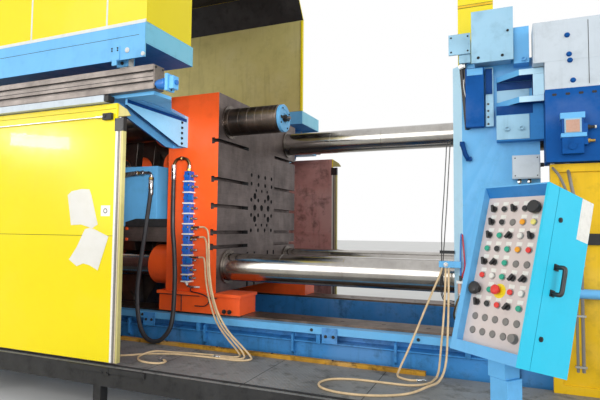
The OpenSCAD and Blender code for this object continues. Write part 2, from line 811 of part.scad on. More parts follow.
module rail_brackets() {
    bracket_x = -2630;
    root_z = 2410;
    top_z = rail_z0 - 30;
    color(sky_blue) both_sides() {
        difference() {
            translate([bracket_x, 0, top_z]) linear_extrude(rail_z0 - top_z)
                polygon([[-160, half_w], [20, half_w], [30, 1040], [94, 1340], [355, 1690], [340, rail_y],
                    [-160, rail_y]]);
            block([bracket_x + 95, bracket_x + 118], [1445, 1780], [top_z - 1, rail_z0 + 1]);
        }
        block([bracket_x - 160, bracket_x + 20], [half_w, half_w + 25], [root_z, top_z]);
        for (x = [bracket_x - 160, bracket_x])
            translate([x, 0, 0]) along_x(0, 20)
                polygon([[half_w + 25, root_z], [half_w + 150, root_z], [1860, top_z - 50], [1860, top_z],
                    [half_w + 25, top_z]]);
    }
}

manifold_x = moving_face - 310;
module water_manifold() {
    color(deep_blue) block([manifold_x - 30, manifold_x + 30], [-half_w - 80, -half_w], [1130, 2060]);
    color(steel) for (route = water_routes)
        bar_x(manifold_x + 30 + seat_gap, route[0][0] - 1.5, -half_w - 40, route[0][2], 20);
}

core_hose_x = -3030;
block_side_y = -900;
module manifold_pipe() {
    pipe_d = 34;
    pipe_y = -half_w - 40;
    color(steel) {
        bar_z(2060, 2200, manifold_x, pipe_y, pipe_d);
        bar_x(manifold_x - 205, manifold_x + pipe_d / 2, pipe_y, 2260, pipe_d);
        bar_z(2120, 2260, manifold_x - 205 + pipe_d / 2, pipe_y, pipe_d);
        bar_z(2200, 2260, manifold_x, pipe_y, pipe_d);
        for (z = [2062, 2122])
            bar_z(z, z + 60, core_hose_x, pipe_y, pipe_d);
        bar_y(pipe_y - pipe_d / 2, block_side_y, core_hose_x, 2180, pipe_d);
    }
}

// Hoses: a round tube that follows a smooth curve through its route
function unit(v) = v / norm(v);
function on_curve(a, b, c, d, t) = 0.5 * (2 * b + (c - a) * t + (2 * a - 5 * b + 4 * c - d) * t ^ 2
    + (3 * b - a - 3 * c + d) * t ^ 3);
function curve(p, n) = let (last = len(p) - 1, q = concat([2 * p[0] - p[1]], p, [2 * p[last] - p[last - 1]]))
    concat([for (i = [0 : last - 1], k = [0 : n - 1]) on_curve(q[i], q[i + 1], q[i + 2], q[i + 3], k / n)], [p[last]]);
function sides_along(dirs, i, side) = i == len(dirs) ? []
    : let (next = unit(side - dirs[i] * (side * dirs[i]))) concat([next], sides_along(dirs, i + 1, next));

module tube(route, d) {
    n = 10;
    path = curve(route, 4);
    last = len(path) - 1;
    dirs = [for (i = [0 : last]) unit(path[min(i + 1, last)] - path[max(i - 1, 0)])];
    across = sides_along(dirs, 0, cross(dirs[0], abs(dirs[0][2]) < 0.8 ? [0, 0, 1] : [1, 0, 0]));
    points = [for (i = [0 : last], k = [0 : n - 1])
        path[i] + d / 2 * (across[i] * cos(360 * k / n) + cross(dirs[i], across[i]) * sin(360 * k / n))];
    walls = [for (i = [0 : last - 1], k = [0 : n - 1])
        [i * n + k, (i + 1) * n + k, (i + 1) * n + (k + 1) % n, i * n + (k + 1) % n]];
    caps = [[for (k = [0 : n - 1]) k], [for (k = [0 : n - 1]) last * n + n - 1 - k]];
    polyhedron(points, concat(walls, caps));
}

module core_hose() {
    color(dark) tube(core_route, core_hose_d);
}

module water_hoses() {
    color([0.85, 0.75, 0.58]) for (route = water_routes)
        tube(route, water_hose_d);
}

module return_hoses() {
    color([0.85, 0.75, 0.58]) for (route = return_routes)
        tube(route, water_hose_d);
}

// Toggle links, drawn along +X from their first pivot and turned to the open pose
module link_plate(l, r0, r1, t, y, bore0, bore1) {
    lean = asin((r0 - r1) / l);
    difference() {
        union() {
            bar_y(y - t / 2, y + t / 2, 0, 0, 2 * r0);
            bar_y(y - t / 2, y + t / 2, l, 0, 2 * r1);
            across_y(y - t / 2, y + t / 2)
                polygon([[r0 * sin(lean), -r0 * cos(lean)], [l + r1 * sin(lean), -r1 * cos(lean)],
                    [l + r1 * sin(lean), r1 * cos(lean)], [r0 * sin(lean), r0 * cos(lean)]]);
        }
        if (bore0 > 0) bar_y(y - t, y + t, 0, 0, bore0);
        if (bore1 > 0) bar_y(y - t, y + t, l, 0, bore1);
    }
}

module rear_link_set() {
    cap_t = 20;
    bore = pin_d + 2 * pin_clear;
    for (y = [-outer_plate_y, -inner_plate_y, inner_plate_y, outer_plate_y])
        link_plate(rear_link, eye_r, eye_r, plate_t, y, bore, 0);
    for (y = [-outer_plate_y - plate_t / 2 - cap_t, outer_plate_y + plate_t / 2])
        bar_y(y, y + cap_t, rear_link, 0, pin_d + 60);
    for (y = [-inner_plate_y + plate_t / 2, inner_plate_y - plate_t / 2 - cap_t])
        bar_y(y, y + cap_t, crosshead_lug, 0, pin_d);
}

module place_link(x, z, a, up) {
    translate([x, 0, axis_z]) mirror([0, 0, up ? 0 : 1])
        translate([0, 0, z]) rotate([0, -a, 0]) children();
}

module rear_link_upper() {
    color(orange) place_link(rear_pivot_x, pivot_dz, rear_angle, true) rear_link_set();
}

module rear_link_lower() {
    color(orange) place_link(rear_pivot_x, pivot_dz, rear_angle, false) rear_link_set();
}

module front_link_set() {
    for (y = [-middle_plate_y, middle_plate_y])
        link_plate(front_link, eye_r, eye_r, middle_plate_t, y, pin_d + 2 * pin_clear, 0);
}

module front_link_upper() {
    color(orange) place_link(front_pivot_x, pivot_dz, 180 - front_angle, true) front_link_set();
}

module front_link_lower() {
    color(orange) place_link(front_pivot_x, pivot_dz, 180 - front_angle, false) front_link_set();
}

module crosshead() {
    back = crosshead_x - 200;
    front = crosshead_x + 100;
    slot = 95;
    color(machined) difference() {
        union() {
            block([back, front], [-440, 440], [axis_z - 170, axis_z + 170]);
            bar_x(back - guide_l, back, 0, axis_z, rod_d);
            for (y = [-guide_y, guide_y])
                bar_x(back - guide_l, back, y, axis_z, guide_d);
        }
        for (z = [70, -171])
            block([back - 1, front + 1], [-slot, slot], [axis_z + z, axis_z + z + 101]);
        block([crosshead_x - 100, front + 1], [-slot, slot], [axis_z - 171, axis_z + 171]);
    }
    color(steel) for (z = [-crosshead_dz, crosshead_dz])
        bar_y(-slot, slot, crosshead_x, axis_z + z, 90);
}

module crosshead_link_set() {
    link_plate(crosshead_link, crosshead_eye_r, crosshead_eye_r, 170, 0, 91, 0);
}

module crosshead_link_upper() {
    color(orange) place_link(crosshead_x, crosshead_dz, crosshead_angle, true) crosshead_link_set();
}

module crosshead_link_lower() {
    color(orange) place_link(crosshead_x, crosshead_dz, crosshead_angle, false) crosshead_link_set();
}

// The withdrawn tie bar and its cap
stub_x = moving_face + tie_stub;
module tie_bar_upper_near() {
    color(machined) bar_x(bar_x0 - 2200, stub_x, near_upper[0], near_upper[1], tie_d);
}

module tie_bar_cap() {
    color(sky_blue) difference() {
        bar_x(stub_x, stub_x + 40, near_upper[0], near_upper[1], tie_d - 4);
        block([stub_x - 1, stub_x + 41], [near_upper[0] - 20, near_upper[0] + 20], [near_upper[1] - 160, near_upper[1] - 30]);
    }
    color(dark) bar_x(stub_x + 40, stub_x + 90, near_upper[0], near_upper[1], 40);
}

// Hood: an outer and an inner sheet on the near side, one sheet on the far side, a folded roof
hood_x0 = hood_x1 - hood_l;
hood_out = tray_out - 10;
module hood_near_wall() {
    color(yellow) block([hood_x0, hood_x1], [-hood_out, -hood_out + sheet_t], [tray_z1, hood_crease_z]);
}

module hood_inner_walls() {
    color(yellow) for (y = [-tray_in - sheet_t, tray_in - sheet_t])
        block([hood_x0, hood_x1], [y, y + sheet_t], [tray_z1, hood_crease_z]);
}

module hood_end_panels() {
    color(yellow) for (x = [hood_x0, hood_x1 - sheet_t])
        block([x, x + sheet_t], [-hood_out + sheet_t, -tray_in - sheet_t], [tray_z1, hood_crease_z]);
}

module hood_roof() {
    under = hood_top - sheet_t;
    color(yellow) {
        along_x(hood_x0, hood_x1)
            polygon([[-hood_out, hood_crease_z], [-hood_out + sheet_t, hood_crease_z], [-hood_crease_in, under],
                [-hood_crease_in, hood_top]]);
        block([hood_x0, hood_x1], [-hood_crease_in + seat_gap, hood_crease_in - seat_gap], [under, hood_top]);
        along_x(hood_x0, hood_x1)
            polygon([[hood_crease_in, under], [tray_in - sheet_t, hood_crease_z], [tray_in, hood_crease_z],
                [hood_crease_in, hood_top]]);
    }
}

module hood_trays() {
    wall = 12;
    color(sky_blue) both_sides() {
        block([hood_x0, hood_x1], [tray_in - sheet_t, tray_in + wall], [tray_floor_z, tray_z1]);
        block([hood_x0, hood_x1], [tray_out - wall, tray_out], [tray_z0, tray_z1]);
        block([hood_x0, hood_x1], [tray_in + wall + seat_gap, tray_out - wall - seat_gap],
            [tray_floor_z, tray_floor_z + wall]);
        for (x = [hood_x0, hood_x1 - wall])
            block([x, x + wall], [tray_in + wall + seat_gap, tray_out - wall - seat_gap],
                [tray_floor_z + wall + seat_gap, tray_z1]);
    }
}

// Rollers under the trays, each held between two fork plates
roller_d = 100;
module hood_rollers() {
    fork_t = 12;
    for (x = [hood_x0 + 400, hood_x1 - 300]) both_sides() {
        color(pale_grey) bar_y(rail_y - 30, rail_y + 30, x, rail_z1 + roller_d / 2 + seat_gap, roller_d);
        color(sky_blue) for (y = [rail_y - 30 - fork_t, rail_y + 30])
            block([x - 60, x + 60], [y, y + fork_t], [rail_z1 + 20, tray_floor_z]);
    }
}

// Doors: a framed sheet with an upright edge profile, on small wheels
module door(x1) {
    edge = 70;
    x0 = x1 - door_l;
    wheel_z = platform_h + rail_h + wheel_d / 2 + seat_gap;
    union() {
        block([x0, x1 - edge], [door_in + 8, door_y], [door_z0, door_z0 + door_h]);
        block([x1 - edge, x1], [door_in, door_y], [door_z0, door_z0 + door_h]);
        for (x = [x0 + 300, x1 - 300])
            bar_y(door_y - 30, door_y - 10, x, wheel_z, wheel_d);
    }
}

module door_near() {
    color(yellow) mirror([0, 1, 0]) door(door_x1);
}

module door_far() {
    color(yellow) door(far_door_x1);
}

bed_near_beam();
bed_far_beam();
bed_cross_members();
bed_ways();
platforms();
kick_strips();
fixed_platen();
rear_platen();
rear_lugs();
tie_bars();
tie_bar_nuts();
rear_pins();
clamp_cylinder();
shot_frame();
shot_cylinder();
shot_sleeve();
shot_plunger();
accumulators();
shot_stand();
clamp_guards();
injection_guard();
platen_top_guard();
door_tracks();
door_posts();
platen_brackets();
valve_block();
relay_cabinet();
console_post();
moving_platen();
moving_lugs();
platen_bushes();
slide_shoes();
toggle_pins();
core_valve_block();
ejector_beams();
hood_rails();
rail_brackets();
water_manifold();
manifold_pipe();
core_hose();
water_hoses();
return_hoses();
rear_link_upper();
rear_link_lower();
front_link_upper();
front_link_lower();
crosshead();
crosshead_link_upper();
crosshead_link_lower();
tie_bar_upper_near();
tie_bar_cap();
hood_near_wall();
hood_inner_walls();
hood_end_panels();
hood_roof();
hood_trays();
hood_rollers();
door_near();
door_far();
console_box();
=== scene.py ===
"""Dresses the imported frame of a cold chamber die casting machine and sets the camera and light."""

import json
import math

import bmesh
import bpy
from mathutils import Matrix, Vector


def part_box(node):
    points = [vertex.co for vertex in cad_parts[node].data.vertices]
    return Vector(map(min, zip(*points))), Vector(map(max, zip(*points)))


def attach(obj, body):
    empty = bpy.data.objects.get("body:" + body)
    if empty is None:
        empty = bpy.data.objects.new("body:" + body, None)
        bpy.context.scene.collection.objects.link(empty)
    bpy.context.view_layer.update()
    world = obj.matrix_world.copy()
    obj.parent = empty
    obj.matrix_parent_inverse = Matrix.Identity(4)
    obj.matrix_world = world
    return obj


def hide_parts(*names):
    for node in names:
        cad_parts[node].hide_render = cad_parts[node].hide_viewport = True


bl_info = {
    "name": "Die Casting Machine",
    "version": (1, 0, 0),
    "blender": (4, 5, 0),
    "location": "View3D > Sidebar > Machine",
    "description": "Dresses a die casting machine: platens, guards, hoses and console",
    "category": "Add Mesh",
}

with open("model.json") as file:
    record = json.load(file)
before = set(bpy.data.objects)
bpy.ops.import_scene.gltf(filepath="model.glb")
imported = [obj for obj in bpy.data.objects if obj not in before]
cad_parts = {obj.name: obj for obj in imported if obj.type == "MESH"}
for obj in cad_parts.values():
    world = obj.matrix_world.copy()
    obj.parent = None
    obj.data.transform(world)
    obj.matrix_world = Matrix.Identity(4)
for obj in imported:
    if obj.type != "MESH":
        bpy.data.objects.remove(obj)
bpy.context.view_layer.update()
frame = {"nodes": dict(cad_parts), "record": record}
NODES = frame["nodes"]
BODY_OF = {node: body for body, nodes in frame["record"]["behaviour"]["bodies"].items() for node in nodes}
SLOT_OF = {part["node"]: part["material_slot"] for part in frame["record"]["subparts"]}
AXES = {"X": Vector((1, 0, 0)), "Y": Vector((0, 1, 0)), "Z": Vector((0, 0, 1))}

# Vertices closer than this are one, faces within FLAT are one, and an edge over CORNER is broken
WELD = 0.00002
FLAT = math.radians(1.0)
CORNER = math.radians(38)

# Steps between two given points of a hose or tube: for its mesh, and for its measured path
CURVE_STEPS = 6


def srgb(code, alpha=1.0):
    """A colour written as a web code, as Blender's linear numbers."""
    parts = [int(code[i : i + 2], 16) / 255 for i in (0, 2, 4)]
    linear = [c / 12.92 if c <= 0.04045 else ((c + 0.055) / 1.055) ** 2.4 for c in parts]
    return (*linear, alpha)


def colour(label, code):
    return bpy.props.FloatVectorProperty(
        name=label, description=f"Colour of the {label.lower()}", subtype="COLOR",
        size=4, min=0.0, max=1.0, default=srgb(code),
    )


def length(label, metres, about):
    return bpy.props.FloatProperty(name=label, description=about, default=metres, min=0.0, unit="LENGTH")


class MachinePaint(bpy.types.PropertyGroup):
    """Colours of the machine's paint and plastics."""

    orange: colour("Moving platen paint", "ff6226")
    sky_blue: colour("Frame paint", "66b3e8")
    deep_blue: colour("Block paint", "07529c")
    cyan: colour("Console cover paint", "2cc6e8")
    lemon: colour("Door paint", "ead60e")
    amber: colour("Fixed guard paint", "e8bb0c")
    # The khaki stands for the lemon paint in painted shade
    khaki: colour("Hood lining", "c4ba78")
    oxide: colour("Door lining", "c9968f")
    cream: colour("Water hose", "dcc096")
    panel: colour("Console panel", "d4c7c3")
    walkway: colour("Walkway plate", "9fa09e")


class MachineSizes(bpy.types.PropertyGroup):
    """Sizes of the details that are added to the frame."""

    edge: length("Edge break", 0.004, "Width of the bevel on plates and blocks")
    fine_edge: length("Fine edge", 0.0012, "Width of the bevel on small pieces")
    water_hose: length("Water hose", 0.017, "Diameter of the cream water hoses")
    core_hose: length("Core hose", 0.044, "Diameter of the black core hose")


def sizes():
    return bpy.context.scene.machine_sizes


def paints():
    return bpy.context.scene.machine_paint


def tone(source):
    """One of the panel's colours by its name, or else a web code."""
    return tuple(getattr(paints(), source)) if hasattr(paints(), source) else srgb(source)


def darker(tint, share):
    return (*(c * share for c in tint[:3]), 1.0)


# Shader groups


def feed(tree, node, inputs):
    """Gives each input of a node a number, a colour, a vector or another node's output."""
    for label, value in inputs.items():
        if isinstance(value, bpy.types.NodeSocket):
            tree.links.new(value, node.inputs[label])
        else:
            node.inputs[label].default_value = value


def shader_node(tree, kind, inputs, **settings):
    """A new node with its settings and its inputs."""
    node = tree.nodes.new(kind)
    for name, value in settings.items():
        setattr(node, name, value)
    feed(tree, node, inputs)
    return node


def object_place(tree):
    return tree.nodes.new("ShaderNodeTexCoord").outputs["Object"]


def noise(tree, vector, scale, detail=4.0, roughness=0.6):
    inputs = {"Vector": vector, "Scale": scale, "Detail": detail, "Roughness": roughness}
    return shader_node(tree, "ShaderNodeTexNoise", inputs).outputs["Fac"]


def mapped(tree, vector, **inputs):
    """A place moved by the Mapping node's Scale or Rotation."""
    return shader_node(tree, "ShaderNodeMapping", {"Vector": vector, **inputs}).outputs["Vector"]


def maths(tree, operation, first, second):
    return shader_node(tree, "ShaderNodeMath", {0: first, 1: second}, operation=operation).outputs[0]


def spread(tree, value, low, high, out_low=0.0, out_high=1.0):
    """A value moved from one range to another and held inside it."""
    inputs = {"Value": value, "From Min": low, "From Max": high, "To Min": out_low, "To Max": out_high}
    return shader_node(tree, "ShaderNodeMapRange", inputs).outputs["Result"]


def mixed(tree, factor, first, second):
    inputs = {"Factor": factor, "A": first, "B": second}
    return shader_node(tree, "ShaderNodeMix", inputs, data_type="RGBA").outputs["Result"]


def new_group(name, inputs):
    """An empty shader group for a surface; returns the tree, its inputs' outputs and its end node."""
    tree = bpy.data.node_groups.new(name, "ShaderNodeTree")
    for label, value in inputs.items():
        kind = {4: "Color", 3: "Vector"}[len(value)] if isinstance(value, tuple) else "Float"
        socket = tree.interface.new_socket(name=label, in_out="INPUT", socket_type=f"NodeSocket{kind}")
        socket.default_value = value
    for label, kind in (("Colour", "Color"), ("Roughness", "Float"), ("Height", "Float")):
        tree.interface.new_socket(name=label, in_out="OUTPUT", socket_type=f"NodeSocket{kind}")
    return tree, tree.nodes.new("NodeGroupInput").outputs, tree.nodes.new("NodeGroupOutput")


def wear_group():
    """Mottled colour, grime that gathers low down, streaks that run down, and a fine orange peel."""
    name = "Shop Wear"
    if name in bpy.data.node_groups:
        return bpy.data.node_groups[name]
    tree, given, end = new_group(name, {
        "Colour": (0.5, 0.5, 0.5, 1), "Grime Colour": (0.05, 0.04, 0.03, 1), "Grime": 0.3, "Streaks": 0.2,
        "Mottle": 0.12, "Gloss Low": 0.3, "Gloss High": 0.5,
    })
    place = object_place(tree)
    cloud = noise(tree, place, 1.7, 6.0)
    patch = noise(tree, place, 7.0, 5.0, 0.7)
    run = noise(tree, mapped(tree, place, Scale=(9.0, 9.0, 0.7)), 1.6, 5.0)
    grain = noise(tree, place, 260.0, 2.0)
    split = shader_node(tree, "ShaderNodeSeparateXYZ", {0: place})
    low = spread(tree, split.outputs["Z"], 1.3, 0.35)
    shade = maths(tree, "MULTIPLY", spread(tree, cloud, 0.35, 0.65, -1.0, 1.0), given["Mottle"])
    dark = maths(tree, "MAXIMUM", maths(tree, "MULTIPLY", shade, -1.0), 0.0)
    light = maths(tree, "MAXIMUM", maths(tree, "MULTIPLY", shade, 0.3), 0.0)
    base = mixed(tree, light, mixed(tree, dark, given["Colour"], given["Grime Colour"]), (1.0, 1.0, 1.0, 1.0))
    streak = maths(tree, "MULTIPLY", spread(tree, run, 0.55, 0.75), given["Streaks"])
    dirt = maths(tree, "ADD", spread(tree, patch, 0.52, 0.72), maths(tree, "MULTIPLY", low, 0.55))
    cover = maths(tree, "ADD", streak, maths(tree, "MULTIPLY", dirt, given["Grime"]))
    cover = maths(tree, "MINIMUM", cover, 0.92)
    rough = spread(tree, patch, 0.3, 0.7, given["Gloss Low"], given["Gloss High"])
    rough = maths(tree, "ADD", rough, maths(tree, "MULTIPLY", cover, 0.3))
    height = maths(tree, "ADD", maths(tree, "MULTIPLY", grain, 0.25), maths(tree, "MULTIPLY", cloud, 0.75))
    feed(tree, end, {
        "Colour": mixed(tree, cover, base, given["Grime Colour"]),
        "Roughness": maths(tree, "MINIMUM", rough, 0.95), "Height": height,
    })
    return tree


def tooling_group():
    """Cutting marks along one way, with stains, for steel that was milled, turned or ground."""
    name = "Tool Marks"
    if name in bpy.data.node_groups:
        return bpy.data.node_groups[name]
    tree, given, end = new_group(name, {
        "Bright": (0.6, 0.6, 0.6, 1), "Dark": (0.2, 0.18, 0.17, 1), "Marks": (1.0, 1.0, 1.0), "Stain": 0.4,
        "Gloss Low": 0.2, "Gloss High": 0.4,
    })
    place = object_place(tree)
    scaled = shader_node(tree, "ShaderNodeVectorMath", {0: place, 1: given["Marks"]}, operation="MULTIPLY")
    cut = noise(tree, scaled.outputs["Vector"], 14.0, 6.0, 0.75)
    stain = noise(tree, place, 2.6, 6.0, 0.65)
    smear = noise(tree, mapped(tree, place, Scale=(1.0, 1.4, 0.6)), 9.0, 4.0)
    marks = maths(tree, "ADD", spread(tree, cut, 0.3, 0.7, 0.0, 0.5),
                  spread(tree, smear, 0.35, 0.7, 0.0, 0.4))
    stained = maths(tree, "MULTIPLY", spread(tree, stain, 0.38, 0.66), given["Stain"])
    base = mixed(tree, stained, given["Bright"], given["Dark"])
    rough = spread(tree, marks, 0.0, 0.9, given["Gloss Low"], given["Gloss High"])
    feed(tree, end, {
        "Colour": mixed(tree, maths(tree, "MULTIPLY", marks, 0.35), base, given["Dark"]),
        "Roughness": rough, "Height": cut,
    })
    return tree


# Finishes


def new_finish(name, metallic=0.0, coat=0.0):
    """A material; returns it with its Principled shader and its tree."""
    material = bpy.data.materials.new(name)
    material.use_nodes = True
    shader = material.node_tree.nodes["Principled BSDF"]
    shader.inputs["Metallic"].default_value = metallic
    shader.inputs["Coat Weight"].default_value = coat
    return material, shader, material.node_tree


def surfaced(tree, shader, tint, rough, height=None, strength=0.0, distance=0.0):
    """Gives a shader its colour and roughness, and its bump where there is a height."""
    feed(tree, shader, {"Base Color": tint, "Roughness": rough})
    if height is not None:
        bump = shader_node(tree, "ShaderNodeBump", {"Height": height, "Strength": strength,
                                                    "Distance": distance})
        feed(tree, shader, {"Normal": bump.outputs["Normal"]})


def group_outputs(tree, group, values):
    return shader_node(tree, "ShaderNodeGroup", values, node_tree=group).outputs


def paint(name, source, grime=0.3, streaks=0.15, mottle=0.12, gloss=(0.28, 0.45), dirt="2a2119",
          coat=0.06, metallic=0.0, shine=0.3):
    """Shop paint, in one of the panel's colours or a web code."""
    material, shader, tree = new_finish(name, metallic, coat)
    shader.inputs["Specular IOR Level"].default_value = shine
    worn = group_outputs(tree, wear_group(), {
        "Colour": tone(source), "Grime Colour": srgb(dirt), "Grime": grime, "Streaks": streaks,
        "Mottle": mottle, "Gloss Low": gloss[0], "Gloss High": gloss[1],
    })
    surfaced(tree, shader, worn["Colour"], worn["Roughness"], worn["Height"], 0.25, 0.0012)
    return material


def steel(name, bright, dark, marks, stain=0.4, gloss=(0.18, 0.38), metallic=1.0, depth=0.0006):
    """Cut steel, whose marks are finer along the axes with the larger numbers."""
    material, shader, tree = new_finish(name, metallic)
    worn = group_outputs(tree, tooling_group(), {
        "Bright": srgb(bright), "Dark": srgb(dark), "Marks": marks, "Stain": stain,
        "Gloss Low": gloss[0], "Gloss High": gloss[1],
    })
    surfaced(tree, shader, worn["Colour"], worn["Roughness"], worn["Height"], 0.3, depth)
    return material


def checker_plate(name, source):
    """Walkway plate: raised lozenges that lie two ways, worn bright on top."""
    material, shader, tree = new_finish(name, 0.35)
    worn = group_outputs(tree, wear_group(), {
        "Colour": tone(source), "Grime Colour": srgb("1d1b19"), "Grime": 0.5, "Streaks": 0.0,
        "Mottle": 0.3, "Gloss Low": 0.45, "Gloss High": 0.7,
    })
    place = object_place(tree)
    bars = []
    for turn in (45, -45):
        turned = mapped(tree, place, Rotation=(0, 0, math.radians(turn)), Scale=(1, 1, 0))
        bars.append(shader_node(tree, "ShaderNodeTexBrick", {
            "Vector": turned, "Scale": 9.0, "Color1": (1, 1, 1, 1), "Color2": (1, 1, 1, 1),
            "Mortar": (0, 0, 0, 1), "Mortar Size": 0.085, "Mortar Smooth": 0.4,
        }).outputs["Color"])
    raised = maths(tree, "MULTIPLY", *bars)
    tint = mixed(tree, maths(tree, "MULTIPLY", raised, 0.35), worn["Colour"], srgb("8c8c88"))
    surfaced(tree, shader, tint, worn["Roughness"], raised, 0.6, 0.003)
    return material


def rubber(name, source, gloss, weave, depth):
    """Hose or seal rubber, with the scale and depth of its woven cover."""
    material, shader, tree = new_finish(name)
    place = object_place(tree)
    cloud = noise(tree, place, 11.0, 5.0)
    tint = mixed(tree, spread(tree, cloud, 0.4, 0.75, 0.0, 0.7), tone(source), darker(tone(source), 0.55))
    rough = spread(tree, cloud, 0.3, 0.7, gloss - 0.12, gloss + 0.15)
    surfaced(tree, shader, tint, rough, noise(tree, place, weave, 2.0), 0.35, depth)
    return material


def plastic(name, source, gloss=0.35):
    material, shader, tree = new_finish(name, 0.0, 0.1)
    cloud = noise(tree, object_place(tree), 40.0, 4.0)
    tint = mixed(tree, spread(tree, cloud, 0.45, 0.8, 0.0, 0.6), tone(source), darker(tone(source), 0.72))
    surfaced(tree, shader, tint, spread(tree, cloud, 0.3, 0.7, gloss - 0.08, gloss + 0.12))
    return material


def paper(name):
    material, shader, tree = new_finish(name)
    place = object_place(tree)
    stain = spread(tree, noise(tree, place, 8.0, 5.0), 0.4, 0.8, 0.0, 0.5)
    creased = noise(tree, place, 5.0, 3.0)
    surfaced(tree, shader, mixed(tree, stain, srgb("dedcd6"), srgb("cfccc0")), 0.8, creased, 0.4, 0.004)
    return material


# Label, colour, then paint's grime, streaks, mottle, gloss, dirt, coat, metallic and shine
PAINTS = {
    "orange": ("Orange Paint", "orange", 0.12, 0.06, 0.06, (0.3, 0.45), "5a1c0c"),
    "sky": ("Sky Blue Paint", "sky_blue", 0.14, 0.08, 0.07, (0.3, 0.45), "35536b"),
    # A lighter blue that stands for painted light on the hood trays' end faces
    "aqua": ("Aqua Paint", "79c3dc", 0.14, 0.1, 0.08, (0.3, 0.45), "35536b"),
    # A lighter blue that stands for painted light on the rail brackets' web
    "soft lit sky": ("Soft Blue Paint", "8fd0f4", 0.1, 0.06, 0.06, (0.3, 0.45), "35536b"),
    # A paler blue that stands for painted light on the fixed platen's chamfers and the bracket arms' fronts
    "pale lit sky": ("Pale Blue Paint", "bfe6fb", 0.1, 0.06, 0.06, (0.3, 0.45), "35536b"),
    "bed": ("Bed Paint", "3f93da", 0.5, 0.3, 0.22, (0.32, 0.55), "1f4663"),
    "deep": ("Deep Blue Paint", "deep_blue", 0.3, 0.1, 0.14, (0.45, 0.6), "0d1c2e", 0.0, 0.0, 0.12),
    # Also used as painted shade, on undersides and recesses of the brackets and the hood trays
    "mid": ("Mid Blue Paint", "3482c6", 0.2, 0.1, 0.1, (0.4, 0.55), "15304c", 0.0, 0.0, 0.15),
    "shade": ("Shaded Blue Paint", "0a3f7e", 0.3, 0.1, 0.12, (0.4, 0.55), "101d2c", 0.0, 0.0, 0.1),
    "deep blue paint": ("Manifold Paint", "1a5fc0", 0.15, 0.05, 0.1, (0.25, 0.4), "0a1c33"),
    "cyan": ("Cyan Paint", "cyan", 0.05, 0.02, 0.05, (0.3, 0.42), "0f5d78"),
    "lemon": ("Lemon Paint", "lemon", 0.03, 0.02, 0.03, (0.16, 0.26), "c99a08", 0.1, 0.0, 0.2),
    "amber": ("Amber Paint", "amber", 0.25, 0.1, 0.12, (0.3, 0.45), "5d4106"),
    # The lemon paint darkened to khaki: a painted shade inside the hood
    "khaki": ("Hood Lining", "khaki", 0.15, 0.2, 0.16, (0.5, 0.7), "5b5222", 0.0),
    "oxide": ("Door Lining", "oxide", 0.6, 0.3, 0.35, (0.5, 0.7), "2b1a1a", 0.0),
    "white": ("White Paint", "d6d9d7", 0.12, 0.1, 0.06, (0.3, 0.5), "6b6256"),
    "grey": ("Pale Grey Paint", "c3cdd6", 0.15, 0.1, 0.08, (0.35, 0.5), "565d61"),
    "plate": ("Bracket Plate", "8db7cf", 0.2, 0.2, 0.14, (0.3, 0.45), "3a4b55", 0.1, 0.2),
    "kick": ("Kick Strip Paint", "efb02e", 0.8, 0.0, 0.5, (0.5, 0.8), "2a241c", 0.0),
    # A sooty black, also used as painted shade under the hood's roof
    "soot": ("Sooty Paint", "2b2b2c", 0.4, 0.1, 0.06, (0.45, 0.7), "100e0c", 0.0),
    "panel": ("Console Panel", "panel", 0.12, 0.05, 0.1, (0.4, 0.55), "6d6258", 0.0),
}

# Label, bright and dark colour, then steel's marks, stain, gloss, metallic and depth
STEELS = {
    "face": ("Machined Face", "7b6f6c", "2e2727", (1.0, 0.5, 9.0), 0.55, (0.38, 0.6), 0.85),
    "ground": ("Ground Steel", "c2bfba", "756d67", (22.0, 0.6, 0.6), 0.3, (0.10, 0.26), 1.0, 0.0002),
    "oiled": ("Oiled Steel", "8a8079", "2e2825", (22.0, 0.8, 0.8), 0.7, (0.2, 0.42), 1.0, 0.0004),
    "black bar": ("Oily Bar", "7d7067", "241f1c", (22.0, 0.8, 0.8), 0.7, (0.25, 0.45), 1.0, 0.0004),
    "way": ("Way Steel", "7b6a5f", "2c241f", (0.4, 7.0, 1.0), 0.8, (0.35, 0.6), 0.9),
    "bright": ("Bright Steel", "cfd0d0", "77756f", (4.0, 4.0, 4.0), 0.2, (0.2, 0.35)),
    "bronze": ("Bronze Strip", "8a7350", "4a3a26", (1.0, 1.0, 0.2), 0.3, (0.35, 0.5)),
    "brass": ("Brass", "c8a45c", "6b5228", (5.0, 5.0, 5.0), 0.3, (0.2, 0.35)),
    "anodised": ("Black Anodised", "4c494a", "191818", (0.3, 6.0, 6.0), 0.5, (0.3, 0.45), 0.9),
    "rail steel": ("Rail Steel", "968d87", "453f3b", (0.3, 5.0, 5.0), 0.6, (0.35, 0.55), 0.75),
    "link steel": ("Link Steel", "6e6660", "2b2623", (2.0, 2.0, 2.0), 0.6, (0.35, 0.55), 0.9),
}

# Label, colour and, where it isn't plastic's own, the gloss
PLASTICS = {
    "black": ("Black Plastic", "1b1b1d"),
    "white plastic": ("White Plastic", "e8e6df"),
    "grey plastic": ("Grey Plastic", "77736f"),
    "red": ("Red Plastic", "e2332b"),
    "green": ("Green Plastic", "19a083"),
    "yellow": ("Yellow Plastic", "f3dc20"),
    "amber plastic": ("Amber Plastic", "f0a012"),
    "pale yellow": ("Pale Yellow Plastic", "ecdf7a"),
    "blue tube": ("Blue Tube", "1b6fc0"),
    "red tube": ("Red Tube", "b32030"),
    "window": ("Cloudy Window", "c49a86", 0.2),
    "beige": ("Beige Strip", "c9baa0", 0.4),
}


